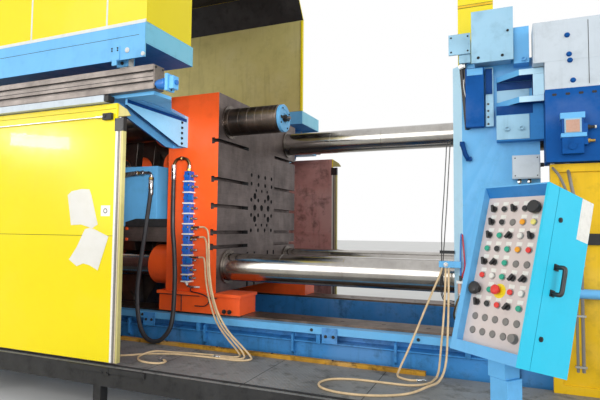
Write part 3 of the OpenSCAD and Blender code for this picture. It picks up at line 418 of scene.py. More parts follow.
def make_finishes():
    """Every finish of the machine, by its plain name."""
    made = {
        "walkway": checker_plate("Walkway Plate", "walkway"),
        "black rubber": rubber("Black Hose", "2b2b2e", 0.5, 160.0, 0.0008),
        "cream hose": rubber("Cream Hose", "cream", 0.6, 420.0, 0.0012),
        "paper": paper("Blank Paper"),
    }
    for table, make in ((PAINTS, paint), (STEELS, steel), (PLASTICS, plastic)):
        made.update({name: make(*values) for name, values in table.items()})
    return made


FINISHES = {}


# Building pieces


class Piece:
    """One piece of the machine: shapes in a bmesh, closed into an object that rides on a body."""

    def __init__(self, name, *finishes):
        self.name = name
        self.finishes = finishes
        self.bm = bmesh.new()

    def _finish(self, verts, finish, turn_out=False):
        """Paints the faces round some vertices, and turns their normals out where asked."""
        faces = list({f for v in verts for f in v.link_faces})
        for face in faces:
            face.material_index = self.finishes.index(finish)
        if turn_out:
            bmesh.ops.recalc_face_normals(self.bm, faces=faces)

    def _linked(self, seeds):
        """Every vertex that edges join to the given ones."""
        seen, todo = set(seeds), list(seeds)
        while todo:
            for edge in todo.pop().link_edges:
                for vert in edge.verts:
                    if vert not in seen:
                        seen.add(vert)
                        todo.append(vert)
        return seen

    def _spin(self, geom, centre, axis, sides):
        bmesh.ops.spin(self.bm, geom=geom, cent=centre, axis=axis, angle=math.tau, steps=sides,
                       use_merge=True, use_duplicate=False)

    def block(self, corner, opposite, finish, turn=None):
        """A box between two opposite corners, given in any order."""
        pairs = list(zip(corner, opposite))
        low, high = Vector([min(p) for p in pairs]), Vector([max(p) for p in pairs])
        matrix = Matrix.Translation((low + high) / 2) @ Matrix.Diagonal((*(high - low), 1))
        made = bmesh.ops.create_cube(self.bm, size=1.0, matrix=turn @ matrix if turn else matrix)
        self._finish(made["verts"], finish)

    def rod(self, start, end, radius, finish, sides=20):
        start, end = Vector(start), Vector(end)
        along = end - start
        matrix = Matrix.Translation((start + end) / 2) @ along.to_track_quat("Z", "Y").to_matrix().to_4x4()
        made = bmesh.ops.create_cone(self.bm, cap_ends=True, segments=sides, radius1=radius, radius2=radius,
                                     depth=along.length, matrix=matrix)
        self._finish(made["verts"], finish)

    def ring(self, start, end, outer, inner, finish, sides=32):
        """A sleeve round an axis: one cross-section, spun."""
        start, end = Vector(start), Vector(end)
        along = (end - start).normalized()
        out = along.orthogonal().normalized()
        corners = ((start, inner), (start, outer), (end, outer), (end, inner))
        verts = [self.bm.verts.new(place + out * radius) for place, radius in corners]
        section = self.bm.faces.new(verts)
        self._spin([section, *section.edges, *verts], start, along, sides)
        bmesh.ops.delete(self.bm, geom=[section], context="FACES_ONLY")
        self._finish(self._linked(verts), finish, True)

    def turned(self, place, axis, profile, finish, sides=24):
        """A turned shape: (radius, height) steps along an axis from a place."""
        place, axis = Vector(place), Vector(axis).normalized()
        out = axis.orthogonal().normalized()
        verts = [self.bm.verts.new(place + out * max(r, 1e-4) + axis * h) for r, h in profile]
        edges = [self.bm.edges.new(pair) for pair in zip(verts, verts[1:])]
        self._spin([*verts, *edges], place, axis, sides)
        grown = self._linked(verts)
        rims = {e for v in grown for e in v.link_edges if e.is_boundary}
        bmesh.ops.holes_fill(self.bm, edges=list(rims), sides=0)
        self._finish(grown, finish, True)

    def prism(self, outline, axis, low, high, finish, turn=None):
        """A flat outline drawn out along X, Y or Z; its points are given on the other two, in that order."""
        place = "XYZ".index(axis)
        verts = [self.bm.verts.new((*point[:place], low, *point[place:])) for point in outline]
        face = self.bm.faces.new(verts)
        grown = bmesh.ops.extrude_face_region(self.bm, geom=[face], use_keep_orig=True)
        moved = [g for g in grown["geom"] if isinstance(g, bmesh.types.BMVert)]
        bmesh.ops.translate(self.bm, verts=moved, vec=AXES[axis] * (high - low))
        every = verts + moved
        if turn:
            bmesh.ops.transform(self.bm, matrix=turn, verts=every)
        self._finish(every, finish, True)

    def bolt(self, place, axis, width, finish, socket=False):
        """A bolt head with its washer, or a socket head with its hollow."""
        place, axis = Vector(place), Vector(axis).normalized()
        self.rod(place - axis * 0.002, place + axis * width * 0.12, width * 0.72, finish, 20)
        if socket:
            head = [(0.0, 0.1), (0.5, 0.1), (0.5, 0.62), (0.3, 0.62), (0.3, 0.25), (0.0, 0.25)]
            self.turned(place, axis, [(r * width, h * width) for r, h in head], finish, 16)
        else:
            self.rod(place, place + axis * width * 0.55, width * 0.56, finish, 6)

    def bolts(self, origin, axis, offsets, width, finish, socket=False):
        """Bolts at pairs of offsets, on the plane through origin that faces X, Y, Z, -X, -Y or -Z."""
        letter = axis[-1]
        first, second = (AXES[a] for a in "XYZ" if a != letter)
        facing = AXES[letter] * (-1 if axis.startswith("-") else 1)
        for a, b in offsets:
            self.bolt(Vector(origin) + first * a + second * b, facing, width, finish, socket)

    def sweep(self, points, radius, finish, sides=10):
        """A round tube that follows a smooth curve through the points."""
        path = smooth_path(points)
        out = last = None
        for i, spot in enumerate(path):
            along = (path[min(i + 1, len(path) - 1)] - path[max(i - 1, 0)]).normalized()
            out = along.orthogonal() if out is None else out - along * out.dot(along)
            out.normalize()
            matrix = Matrix.Translation(spot) @ Matrix((out, along.cross(out), along)).transposed().to_4x4()
            ring = bmesh.ops.create_circle(self.bm, cap_ends=i in (0, len(path) - 1), segments=sides,
                                           radius=radius, matrix=matrix)["verts"]
            if last:
                loops = {e for v in ring for e in v.link_edges}
                loops |= {e for v in last for e in v.link_edges if e.other_vert(v) in last}
                bmesh.ops.bridge_loops(self.bm, edges=list(loops))
            last = ring
        self._finish(self._linked(last), finish, True)

    def copy_of(self, node, finish):
        """The merged mesh of a node of the frame, to be finished as part of this piece."""
        self.bm.from_mesh(NODES[node].data)
        bmesh.ops.remove_doubles(self.bm, verts=self.bm.verts, dist=WELD)
        bmesh.ops.dissolve_limit(self.bm, angle_limit=FLAT, verts=self.bm.verts, edges=self.bm.edges,
                                 delimit={"NORMAL"})
        self._finish(self.bm.verts, finish)

    def repaint(self, test, finish):
        """Gives every face that passes the test another of the piece's finishes."""
        self.bm.normal_update()
        for face in self.bm.faces:
            if test(face.calc_center_median(), face.normal):
                face.material_index = self.finishes.index(finish)

    def close(self, body, slot, edge=None, replaces=(), parts=2, soft=32):
        """The object of the piece, with its edges broken; edges over soft degrees stay sharp."""
        mesh = bpy.data.meshes.new(self.name)
        self.bm.to_mesh(mesh)
        self.bm.free()
        thing = bpy.data.objects.new(self.name, mesh)
        bpy.context.scene.collection.objects.link(thing)
        for finish in self.finishes:
            mesh.materials.append(FINISHES[finish])
        mesh.shade_smooth()
        mesh.set_sharp_from_angle(angle=math.radians(soft))
        edge = sizes().fine_edge if edge is None else edge
        if edge:
            bevel = thing.modifiers.new("Edge break", "BEVEL")
            bevel.width = edge
            bevel.segments = parts
            bevel.limit_method = "ANGLE"
            bevel.angle_limit = CORNER
            bevel.use_clamp_overlap = True
            bevel.harden_normals = True
        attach(thing, body)
        if replaces:
            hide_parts(*replaces)
        return thing


def grid(firsts, seconds=(0.0,)):
    """Every pair of a first and a second offset."""
    return [(a, b) for a in firsts for b in seconds]


def around(count, radius, shift=0.0):
    """Offsets to places spread evenly on a circle; the first stands shifted by a share of a step."""
    for step in range(count):
        turn = math.tau * (step + shift) / count
        yield radius * math.cos(turn), radius * math.sin(turn)


def smooth_path(points, steps=CURVE_STEPS):
    """Points on a smooth curve through the given ones."""
    knots = [Vector(p) for p in points]
    if len(knots) < 3:
        return knots
    ends = [knots[0] * 2 - knots[1], *knots, knots[-1] * 2 - knots[-2]]
    path = []
    for i in range(len(knots) - 1):
        a, b, c, d = ends[i : i + 4]
        for k in range(steps):
            t = k / steps
            path.append(0.5 * ((2 * b) + (c - a) * t + (2 * a - 5 * b + 4 * c - d) * t * t
                               + (3 * b - a - 3 * c + d) * t * t * t))
    return path + [knots[-1]]


def hose(name, points, diameter, finish, body, slot, replaces):
    piece = Piece(name, finish)
    piece.sweep(points, diameter / 2, finish)
    return piece.close(body, slot, 0, replaces)


def span(node):
    """A node's lowest and highest corners."""
    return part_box(node)


def dressed(node, *finishes, repaint=(), edge=None, add=None):
    """A node's own shape with its edges broken, in its finishes, with details added by a function."""
    piece = Piece(f"{node}_finished", *finishes)
    piece.copy_of(node, finishes[0])
    for test, finish in repaint:
        piece.repaint(test, finish)
    if add:
        add(piece)
    piece.close(BODY_OF[node], SLOT_OF[node], sizes().edge if edge is None else edge, [node])


# Camera and stage

EYE = (0.42, -5.216, 1.6)
LENS, SENSOR = 30.0, 36.0
RIGHT = Vector((0.9228, 0.3851, 0.0092))
AHEAD = Vector((-0.3850, 0.9212, 0.0561))

# Kind, place, aim, power, tint and the settings that belong to the kind
LAMPS = {
    "Key": ("SUN", (-6.0, -10.0, 3.2), (-1.5, 0.0, 1.0), 1.6, (1.0, 0.985, 0.96),
            {"angle": math.radians(50.0)}),
    "Fill": ("SUN", (8.0, -5.0, 3.5), (-1.0, 0.0, 1.6), 1.95, (1.0, 1.0, 1.0), {"angle": math.radians(60.0)}),
    "Door Highlight": ("AREA", (-8.64, -6.2, 3.37), (-3.5, -1.95, 2.37), 52.0, (1.0, 1.0, 1.0),
                       {"shape": "RECTANGLE", "size": 1.1, "size_y": 0.26}),
    "Platen Light": ("SPOT", (0.8, -5.5, 2.0), (-2.75, -1.0, 2.2), 900.0, (1.0, 1.0, 1.0),
                     {"spot_size": math.radians(18.0), "spot_blend": 0.7, "shadow_soft_size": 0.25}),
}


def set_viewpoint(scene):
    """The eye stands 1.6 m above the floor, in front of the fixed platen."""
    data = bpy.data.cameras.new("Viewpoint")
    data.lens = LENS
    data.sensor_width = SENSOR
    data.clip_start = 0.05
    data.clip_end = 300.0
    ahead = AHEAD.normalized()
    right = (RIGHT - ahead * RIGHT.dot(ahead)).normalized()
    down = ahead.cross(right)
    viewpoint = bpy.data.objects.new("Viewpoint", data)
    viewpoint.matrix_world = Matrix.Translation(EYE) @ Matrix((right, -down, -ahead)).transposed().to_4x4()
    scene.collection.objects.link(viewpoint)
    scene.camera = viewpoint


def lamp(scene, name, kind, place, aim, power, tint, settings):
    data = bpy.data.lights.new(name, kind)
    data.energy = power
    data.color = tint
    for label, value in settings.items():
        setattr(data, label, value)
    thing = bpy.data.objects.new(name, data)
    ray = Vector(aim) - Vector(place)
    thing.matrix_world = Matrix.Translation(place) @ ray.to_track_quat("-Z", "Y").to_matrix().to_4x4()
    scene.collection.objects.link(thing)


def light_world(scene, ambient):
    """An even pale surrounding: white where it is seen, softer where it lights."""
    scene.world = bpy.data.worlds.new("Studio")
    scene.world.use_nodes = True
    tree = scene.world.node_tree
    tree.nodes.clear()
    ray = tree.nodes.new("ShaderNodeLightPath").outputs
    seen = maths(tree, "MAXIMUM", ray["Is Camera Ray"], ray["Is Glossy Ray"])
    seen = maths(tree, "MAXIMUM", seen, ray["Is Transmission Ray"])
    soft = shader_node(tree, "ShaderNodeBackground", {"Strength": ambient, "Color": (0.97, 0.985, 1.0, 1.0)})
    white = shader_node(tree, "ShaderNodeBackground", {"Color": (1.0, 1.0, 1.0, 1.0)})
    blend = shader_node(tree, "ShaderNodeMixShader", {0: seen, 1: soft.outputs[0], 2: white.outputs[0]})
    shader_node(tree, "ShaderNodeOutputWorld", {"Surface": blend.outputs[0]})


def pale_floor():
    material, shader, tree = new_finish("Pale Floor")
    cloud = spread(tree, noise(tree, object_place(tree), 0.8), 0.3, 0.7)
    surfaced(tree, shader, mixed(tree, cloud, srgb("dcdcda"), srgb("e3e3e1")), 0.85)
    return material


class MACHINE_OT_stage(bpy.types.Operator):
    """Sets the viewpoint, the lamps, the pale floor and the surroundings"""

    bl_idname = "machine.stage"
    bl_label = "Stage"

    def execute(self, context):
        scene = context.scene
        scene.view_settings.view_transform = "Standard"
        set_viewpoint(scene)
        light_world(scene, 0.6)
        for name, values in LAMPS.items():
            lamp(scene, name, *values)
        bm = bmesh.new()
        bmesh.ops.create_grid(bm, x_segments=1, y_segments=1, size=60.0)
        mesh = bpy.data.meshes.new("Floor")
        bm.to_mesh(mesh)
        bm.free()
        floor = bpy.data.objects.new("Floor", mesh)
        scene.collection.objects.link(floor)
        mesh.materials.append(pale_floor())
        return {"FINISHED"}


# Hoses

CORE_ROUTE = [
    (-3.03, -1.005, 2.06), (-3.032, -1.015, 1.9), (-3.055, -1.045, 1.57), (-3.08, -1.09, 1.15),
    (-3.07, -1.125, 0.9), (-3.01, -1.16, 0.66), (-2.915, -1.185, 0.525), (-2.8, -1.192, 0.482),
    (-2.69, -1.185, 0.525), (-2.615, -1.155, 0.68), (-2.625, -1.11, 1.07), (-2.67, -1.07, 1.37),
    (-2.715, -1.04, 1.6), (-2.743, -1.008, 1.95), (-2.743, -1.005, 2.119),
]
WATER_ROUTES = [
    [
        (-2.42, -1.005, 1.6), (-2.36, -1.01, 1.598), (-2.29, -1.05, 1.55), (-2.245, -1.1, 1.4),
        (-2.215, -1.13, 1.2), (-2.17, -1.15, 1), (-2.09, -1.175, 0.82), (-1.96, -1.2, 0.66),
        (-1.8, -1.23, 0.545), (-1.69, -1.27, 0.478), (-1.655, -1.33, 0.463), (-1.74, -1.385, 0.459),
        (-1.92, -1.395, 0.459), (-2.15, -1.405, 0.459), (-2.4, -1.44, 0.459), (-2.6, -1.53, 0.459),
        (-2.72, -1.64, 0.459), (-2.86, -1.7, 0.459), (-3.06, -1.68, 0.459), (-3.26, -1.62, 0.459),
    ],
    [
        (-2.42, -1.005, 1.5), (-2.36, -1.01, 1.498), (-2.31, -1.045, 1.44), (-2.27, -1.09, 1.28),
        (-2.225, -1.12, 1.08), (-2.15, -1.15, 0.88), (-2.04, -1.185, 0.7), (-1.9, -1.215, 0.585),
        (-1.795, -1.245, 0.512), (-1.748, -1.275, 0.478), (-1.733, -1.308, 0.463), (-1.77, -1.345, 0.459),
        (-1.88, -1.35, 0.459), (-1.99, -1.345, 0.459),
    ],
    [
        (-2.42, -1.005, 1.3), (-2.365, -1.01, 1.298), (-2.33, -1.035, 1.24), (-2.29, -1.07, 1.08),
        (-2.23, -1.095, 0.9), (-2.13, -1.13, 0.72), (-2, -1.165, 0.595), (-1.885, -1.2, 0.516),
        (-1.822, -1.232, 0.478), (-1.797, -1.264, 0.463), (-1.828, -1.305, 0.459), (-1.95, -1.315, 0.459),
        (-2.2, -1.34, 0.459), (-2.42, -1.39, 0.461), (-2.55, -1.485, 0.478), (-2.605, -1.61, 0.461),
        (-2.53, -1.72, 0.459), (-2.4, -1.76, 0.459), (-2.29, -1.73, 0.459), (-2.29, -1.66, 0.459),
        (-2.37, -1.62, 0.459),
    ],
]
RETURN_ROUTES = [
    [
        (-0.06, -0.985, 1.29), (-0.062, -0.995, 1.15), (-0.072, -1.035, 0.9), (-0.084, -1.09, 0.7),
        (-0.094, -1.145, 0.535), (-0.102, -1.19, 0.482), (-0.115, -1.245, 0.463), (-0.15, -1.37, 0.459),
        (-0.26, -1.462, 0.459), (-0.45, -1.478, 0.459), (-0.68, -1.492, 0.459), (-0.84, -1.56, 0.459),
        (-0.89, -1.68, 0.459), (-0.82, -1.79, 0.459), (-0.64, -1.83, 0.459), (-0.42, -1.78, 0.459),
        (-0.24, -1.66, 0.461), (-0.13, -1.5, 0.478), (-0.07, -1.34, 0.482), (-0.04, -1.2, 0.57),
        (-0.036, -1.085, 0.78), (-0.036, -1.01, 1.02), (-0.036, -0.985, 1.29),
    ],
    [
        (-0.088, -0.985, 1.29), (-0.105, -0.99, 1.23), (-0.15, -1.015, 1.12), (-0.205, -1.045, 0.98),
        (-0.265, -1.09, 0.82), (-0.33, -1.135, 0.65), (-0.38, -1.18, 0.53), (-0.397, -1.218, 0.48),
        (-0.398, -1.255, 0.463), (-0.37, -1.3, 0.459), (-0.29, -1.335, 0.459), (-0.2, -1.31, 0.459),
    ],
]


def hose_end(name, place, ahead, body, barb=0.0085):
    """A crimped sleeve and a hexagon fitting on the end of a hose."""
    place, ahead = Vector(place), Vector(ahead).normalized()
    sleeve = [(1.15, 0.0), (1.3, 0.004), (1.3, 0.018), (1.18, 0.021), (1.3, 0.024), (1.3, 0.045),
              (0.9, 0.048)]
    piece = Piece(name, "bright")
    piece.turned(place - ahead * 0.045, ahead, [(barb * r, h) for r, h in sleeve], "bright", 16)
    piece.rod(place, place + ahead * 0.018, barb * 1.55, "bright", 6)
    piece.rod(place + ahead * 0.018, place + ahead * 0.03, barb * 0.95, "bright", 14)
    return piece.close(body, "bright_steel", 0)


class MACHINE_OT_hoses(bpy.types.Operator):
    """Lays the cream water hoses and hangs the black core hose"""

    bl_idname = "machine.hoses"
    bl_label = "Hoses"

    def execute(self, context):
        for number, route in enumerate(WATER_ROUTES, 1):
            self.lay(f"water_hose_{number}", route, "fitting", "moving_platen", "water_hoses")
        for number, (route, kind) in enumerate(zip(RETURN_ROUTES, ("object", "fitting")), 1):
            self.lay(f"return_hose_{number}", route, kind, "machine_frame", "return_hoses")
        self.core_hose()
        return {"FINISHED"}

    def lay(self, name, route, kind, body, node):
        """One free hose, with a fitting of its own where its end isn't held by the machine."""
        wide = sizes().water_hose
        tips = []
        if kind == "fitting":
            tips = [hose_end(f"{name}_end", route[-1], Vector(route[-1]) - Vector(route[-2]), body)]
        strand = hose(name, route, wide, "cream hose", body, "hose_cream", [node])

    def core_hose(self):
        core = sizes().core_hose
        hose("core_hose_black", CORE_ROUTE, core, "black rubber", "moving_platen", "hose_black",
             ["core_hose"])
        sleeve = [(0.5, 0.0), (0.58, 0.006), (0.58, 0.05), (0.54, 0.055), (0.58, 0.06), (0.58, 0.12),
                  (0.4, 0.124)]
        piece = Piece("core_hose_ends", "bright")
        for place, sink in ((CORE_ROUTE[0], 0.13), (CORE_ROUTE[-1], 0.04)):
            place = Vector(place)
            piece.turned(place - Vector((0, 0, sink)), (0, 0, 1), [(core * r, h) for r, h in sleeve],
                         "bright", 20)
            place.z += 0.122 - sink
            piece.rod(place, place + Vector((0, 0, 0.035)), core * 0.58, "bright", 6)
        piece.close("moving_platen", "bright_steel", 0.001)


# Platens and tie bars

# The bars' rows across and up, the platens' half width, the height of the machine's axis, and the rails' row
NEAR, FAR = -0.735, 0.735
LOW, HIGH = 1.2, 2.69
SIDE = 0.965
AXIS = 1.955
RAIL = 1.9
SIDES = (-1, 1)


def facing_y(side):
    return "-Y" if side < 0 else "Y"


class MACHINE_OT_platens(bpy.types.Operator):
    """Finishes the moving, fixed and rear platens with their lugs, bushes and shoes"""

    bl_idname = "machine.platens"
    bl_label = "Platens"

    def execute(self, context):
        face = span("moving_platen")[1].x
        dressed("moving_platen", "orange", "face", "soot", repaint=[
            (lambda c, n: c.x > face - 0.13 and abs(c.y) < 0.955 and abs(n.x) < 0.5, "soot"),
            (lambda c, n: abs(n.x) < 0.3 and math.hypot(c.y, c.z - AXIS) < 0.6, "soot"),
            (lambda c, n: n.x > 0.9 and c.x > face - 0.1, "face"),
        ])
        dressed("fixed_platen", "sky", "face", "soot", "pale lit sky", add=self.chamfer_light_strips, repaint=[
            (lambda c, n: c.x < 0.13 and abs(c.y) < 0.955 and abs(n.x) < 0.5, "soot"),
            (lambda c, n: abs(n.x) < 0.3 and math.hypot(c.y, c.z - AXIS) < 0.6, "soot"),
            (lambda c, n: n.x < -0.9 and c.x < 0.1, "face"),
            # Painted light: the chamfer of each near corner in a paler blue
            (lambda c, n: n.x < -0.5 and abs(n.y) > 0.5, "pale lit sky"),
        ])
        dressed("rear_platen", "orange", "soot", add=self.rear_bolts)
        dressed("rear_lugs", "orange")
        dressed("moving_lugs", "orange")
        dressed("platen_bushes", "orange", "soot", add=self.bush_bolts)
        dressed("slide_shoes", "orange", "soot", "black", add=self.shoe_details)
        self.wiper_rings(face)
        return {"FINISHED"}

    def chamfer_light_strips(self, piece):
        # Thin pale strips laid over the chamfers: painted light
        low, high = span("fixed_platen")
        for side in SIDES:
            outline = [(-0.0008, side * 0.891), (0.0742, side * 0.9658), (0.0785, side * 0.9615),
                       (0.0035, side * 0.8866)]
            piece.prism(outline, "Z", low.z + 0.006, high.z - 0.006, "pale lit sky")

    def rear_bolts(self, piece):
        low = span("rear_platen")[0]
        piece.bolts((low.x, 0, 0), "-X", grid((-0.45, 0.45), (1.25, 1.6, 1.955, 2.3, 2.65)), 0.045, "soot")

    def bush_bolts(self, piece):
        low = span("platen_bushes")[0]
        for y, z in grid((NEAR, FAR), (LOW, HIGH)):
            piece.bolts((low.x, y, z), "-X", around(8, 0.175, 0.5), 0.026, "soot", True)

    def shoe_details(self, piece):
        low, high = span("slide_shoes")
        plates = ((0.02, 0.52, 0.918, 0.926), (0.62, 0.72, 0.905, 0.915), (0.3, 0.31, 0.765, 0.918))
        for side in SIDES:
            edge = side * high.y
            for x0, x1, z0, z1 in plates:
                piece.block((low.x + x0, edge - side * 0.001, z0), (low.x + x1, edge + side * 0.0015, z1),
                            "soot")
            for along in (0.8, 0.86):
                piece.bolt((low.x + along, edge, 0.79), (0, side, 0), 0.03, "black")
        near = low.y
        piece.sweep([(-2.53, near + 0.04, 1.0), (-2.5, near - 0.004, 0.965), (-2.4, near - 0.008, 0.95),
                     (-2.31, near - 0.008, 0.92), (-2.29, near - 0.008, 0.87), (-2.34, near - 0.008, 0.83),
                     (-2.45, near - 0.006, 0.825)], 0.006, "black", 8)

    def wiper_rings(self, face):
        piece = Piece("platen_wipers", "oiled", "soot")
        for y, z in ((NEAR, LOW), (FAR, LOW), (FAR, HIGH), (NEAR, HIGH)):
            piece.ring((face - 0.002, y, z), (face + 0.014, y, z), 0.172, 0.1425, "oiled", 48)
            for a, b in around(6, 0.158):
                piece.rod((face + 0.013, y + a, z + b), (face + 0.0145, y + a, z + b), 0.006, "soot", 12)
        piece.close("moving_platen", "bright_steel", 0.0015)


def bar_profile(length, radius, bands):
    """A ground bar with chamfered ends and shallow turned bands, given as (place, width, depth)."""
    steps = [(0.0, 0.0), (radius - 0.016, 0.0), (radius, 0.016)]
    for place, width, depth in sorted(bands):
        steps += [(radius, place), (radius - depth, place + 0.002), (radius - depth, place + width - 0.002),
                  (radius, place + width)]
    return steps + [(radius, length - 0.016), (radius - 0.016, length), (0.0, length)]


def thread(start):
    """The bands that stand for a thread."""
    return [(start + 0.03 * i, 0.012, 0.006) for i in range(9)]


class MACHINE_OT_tie_bars(bpy.types.Operator):
    """Turns the tie bars, the one that is drawn back, its cap, and the nuts"""

    bl_idname = "machine.tie_bars"
    bl_label = "Tie bars"

    def execute(self, context):
        low, high = span("tie_bars")
        radius = high.z - HIGH
        length = high.x - low.x
        bands = [(at - low.x, 0.006, 0.0012) for at in (-1.62, -0.98, -0.12)]
        profile = bar_profile(length, radius, bands + thread(0.06) + thread(length - 0.33))
        piece = Piece("tie_bars_turned", "ground")
        for y, z in ((NEAR, LOW), (FAR, LOW), (FAR, HIGH)):
            piece.turned((low.x, y, z), (1, 0, 0), profile, "ground", 80)
        piece.close("machine_frame", "bright_steel", 0, ["tie_bars"], soft=10)
        low, high = span("tie_bar_upper_near")
        length = high.x - low.x
        bands = [(length - at, 0.008, 0.0016) for at in (0.05, 0.1, 0.16, 0.24, 0.33, 0.43, 0.55)]
        profile = bar_profile(length, radius, bands + thread(0.06))
        piece = Piece("withdrawn_bar_turned", "black bar")
        piece.turned((low.x, NEAR, HIGH), (1, 0, 0), profile, "black bar", 80)
        piece.close("withdrawn_tie_bar", "dark_steel", 0, ["tie_bar_upper_near"], soft=10)
        self.cap()
        dressed("tie_bar_nuts", "oiled", edge=0.003)
        return {"FINISHED"}

    def cap(self):
        low, high = span("tie_bar_cap")
        radius = high.z - HIGH
        profile = [(0.0, 0.0), (radius, 0.0), (radius, 0.026), (radius - 0.006, 0.032),
                   (radius - 0.05, 0.032), (radius - 0.056, 0.027), (0.052, 0.027), (0.046, 0.02),
                   (0.0, 0.02)]
        piece = Piece("tie_bar_cap_keyed", "sky", "soot", "oiled")
        piece.turned((low.x, NEAR, HIGH), (1, 0, 0), profile, "sky", 56)
        piece.bolts((low.x + 0.03, NEAR, HIGH), "X", around(4, 0.108, 0.35), 0.016, "soot", True)
        piece.rod((low.x + 0.019, NEAR, HIGH), (low.x + 0.05, NEAR, HIGH), 0.036, "soot", 6)
        piece.rod((low.x + 0.05, NEAR, HIGH), (high.x, NEAR, HIGH), 0.019, "oiled", 20)
        piece.block((low.x + 0.028, NEAR - 0.1, HIGH - 0.012), (low.x + 0.04, NEAR + 0.1, HIGH + 0.012),
                    "soot")
        piece.close("withdrawn_tie_bar", "sky_blue", 0.0015, ["tie_bar_cap"])


# Bed and walkways


class MACHINE_OT_bed(bpy.types.Operator):
    """Finishes the bed beams, their ribs and brackets, and the worn ways"""

    bl_idname = "machine.bed"
    bl_label = "Bed"

    def execute(self, context):
        for node, side in (("bed_near_beam", -1), ("bed_far_beam", 1)):
            dressed(node, "bed", "soot", "sky", add=lambda piece, side=side: self.ribs(piece, side),
                    # Painted light: the beams' tops above 0.67 m in the lighter frame blue
                    repaint=[(lambda c, n: c.z > 0.67, "sky")])
        dressed("bed_cross_members", "bed")
        dressed("bed_ways", "way", "soot", edge=0.002, add=self.way_bolts)
        return {"FINISHED"}

    def ribs(self, piece, side):
        low = span("bed_near_beam")[0]
        outline = [(side * 0.999, 0.47), (side * 1.04, 0.5), (side * 1.04, 0.645), (side * 0.999, 0.672)]
        for step in range(9):
            x = low.x + 0.35 + step * 0.93
            piece.prism(outline, "X", x, x + 0.02, "bed")
            piece.bolt((x + 0.2, side * 1.049, 0.704), (0, side, 0), 0.02, "soot")
        for x in (-5.2, -3.04, -1.1):
            piece.block((x, side * 1.049, 0.6), (x + 0.14, side * 1.06, 0.731), "bed")
            piece.bolts((x, side * 1.06, 0.66), facing_y(side), grid((0.035, 0.105)), 0.02, "soot")

    def way_bolts(self, piece):
        low, high = span("bed_ways")
        for side in SIDES:
            for step in range(16):
                place = Vector((low.x + 0.2 + step * 0.385, side * 0.8025, high.z))
                piece.ring(place - Vector((0, 0, 0.001)), place + Vector((0, 0, 0.0012)), 0.019, 0.009,
                           "soot", 16)


class MACHINE_OT_walkways(bpy.types.Operator):
    """Finishes the walkway plates, their legs, the kick strips and the door's bottom rail"""

    bl_idname = "machine.walkways"
    bl_label = "Walkways"

    def execute(self, context):
        top = span("platforms")[1].z
        dressed("platforms", "walkway", "soot", edge=0.0015, add=self.edge_trim,
                repaint=[(lambda c, n: not (n.z > 0.9 and c.z > top - 0.002), "soot")])
        dressed("kick_strips", "kick", "soot", edge=0.0015, add=self.strip_screws)
        return {"FINISHED"}

    def strip_screws(self, piece):
        for side in SIDES:
            for step in range(11):
                piece.bolt((-6.1 + step * 0.57, side * 1.14, 0.482), (0, 0, 1), 0.014, "soot")

    def edge_trim(self, piece):
        low, high = span("platforms")
        for side in SIDES:
            for step in range(10):
                x = low.x + 0.45 + step * 0.89
                piece.block((x - 0.003, side * 1.12, high.z - 0.0004),
                            (x + 0.003, side * 1.98, high.z + 0.0006), "soot")
        piece.block((-3.05, -1.996, 0.408), (-2.24, -1.981, 0.446), "soot")
        piece.block((-3.05, -1.99, 0.4), (-2.24, -1.984, 0.408), "soot")
        piece.block((-2.68, -2.0, 0.39), (-2.6, -1.98, 0.449), "soot")
        piece.bolts((-2.64, -2.0, 0.41), "-Y", grid((-0.025, 0.025)), 0.014, "soot")


# Doors and hood

# The width of a door's edge profile; its strips' start, stop, finish and depth behind the outer face
DOOR_EDGE = 0.072
DOOR_STRIPS = (
    (0.0, 0.02, "white plastic", 0.0), (0.0205, 0.038, "grey plastic", 0.003), (0.0385, 0.043, "soot", 0.009),
    (0.0435, 0.057, "beige", 0.003), (0.0575, 0.062, "soot", 0.008), (0.0625, 0.08, "khaki", 0.0),
)


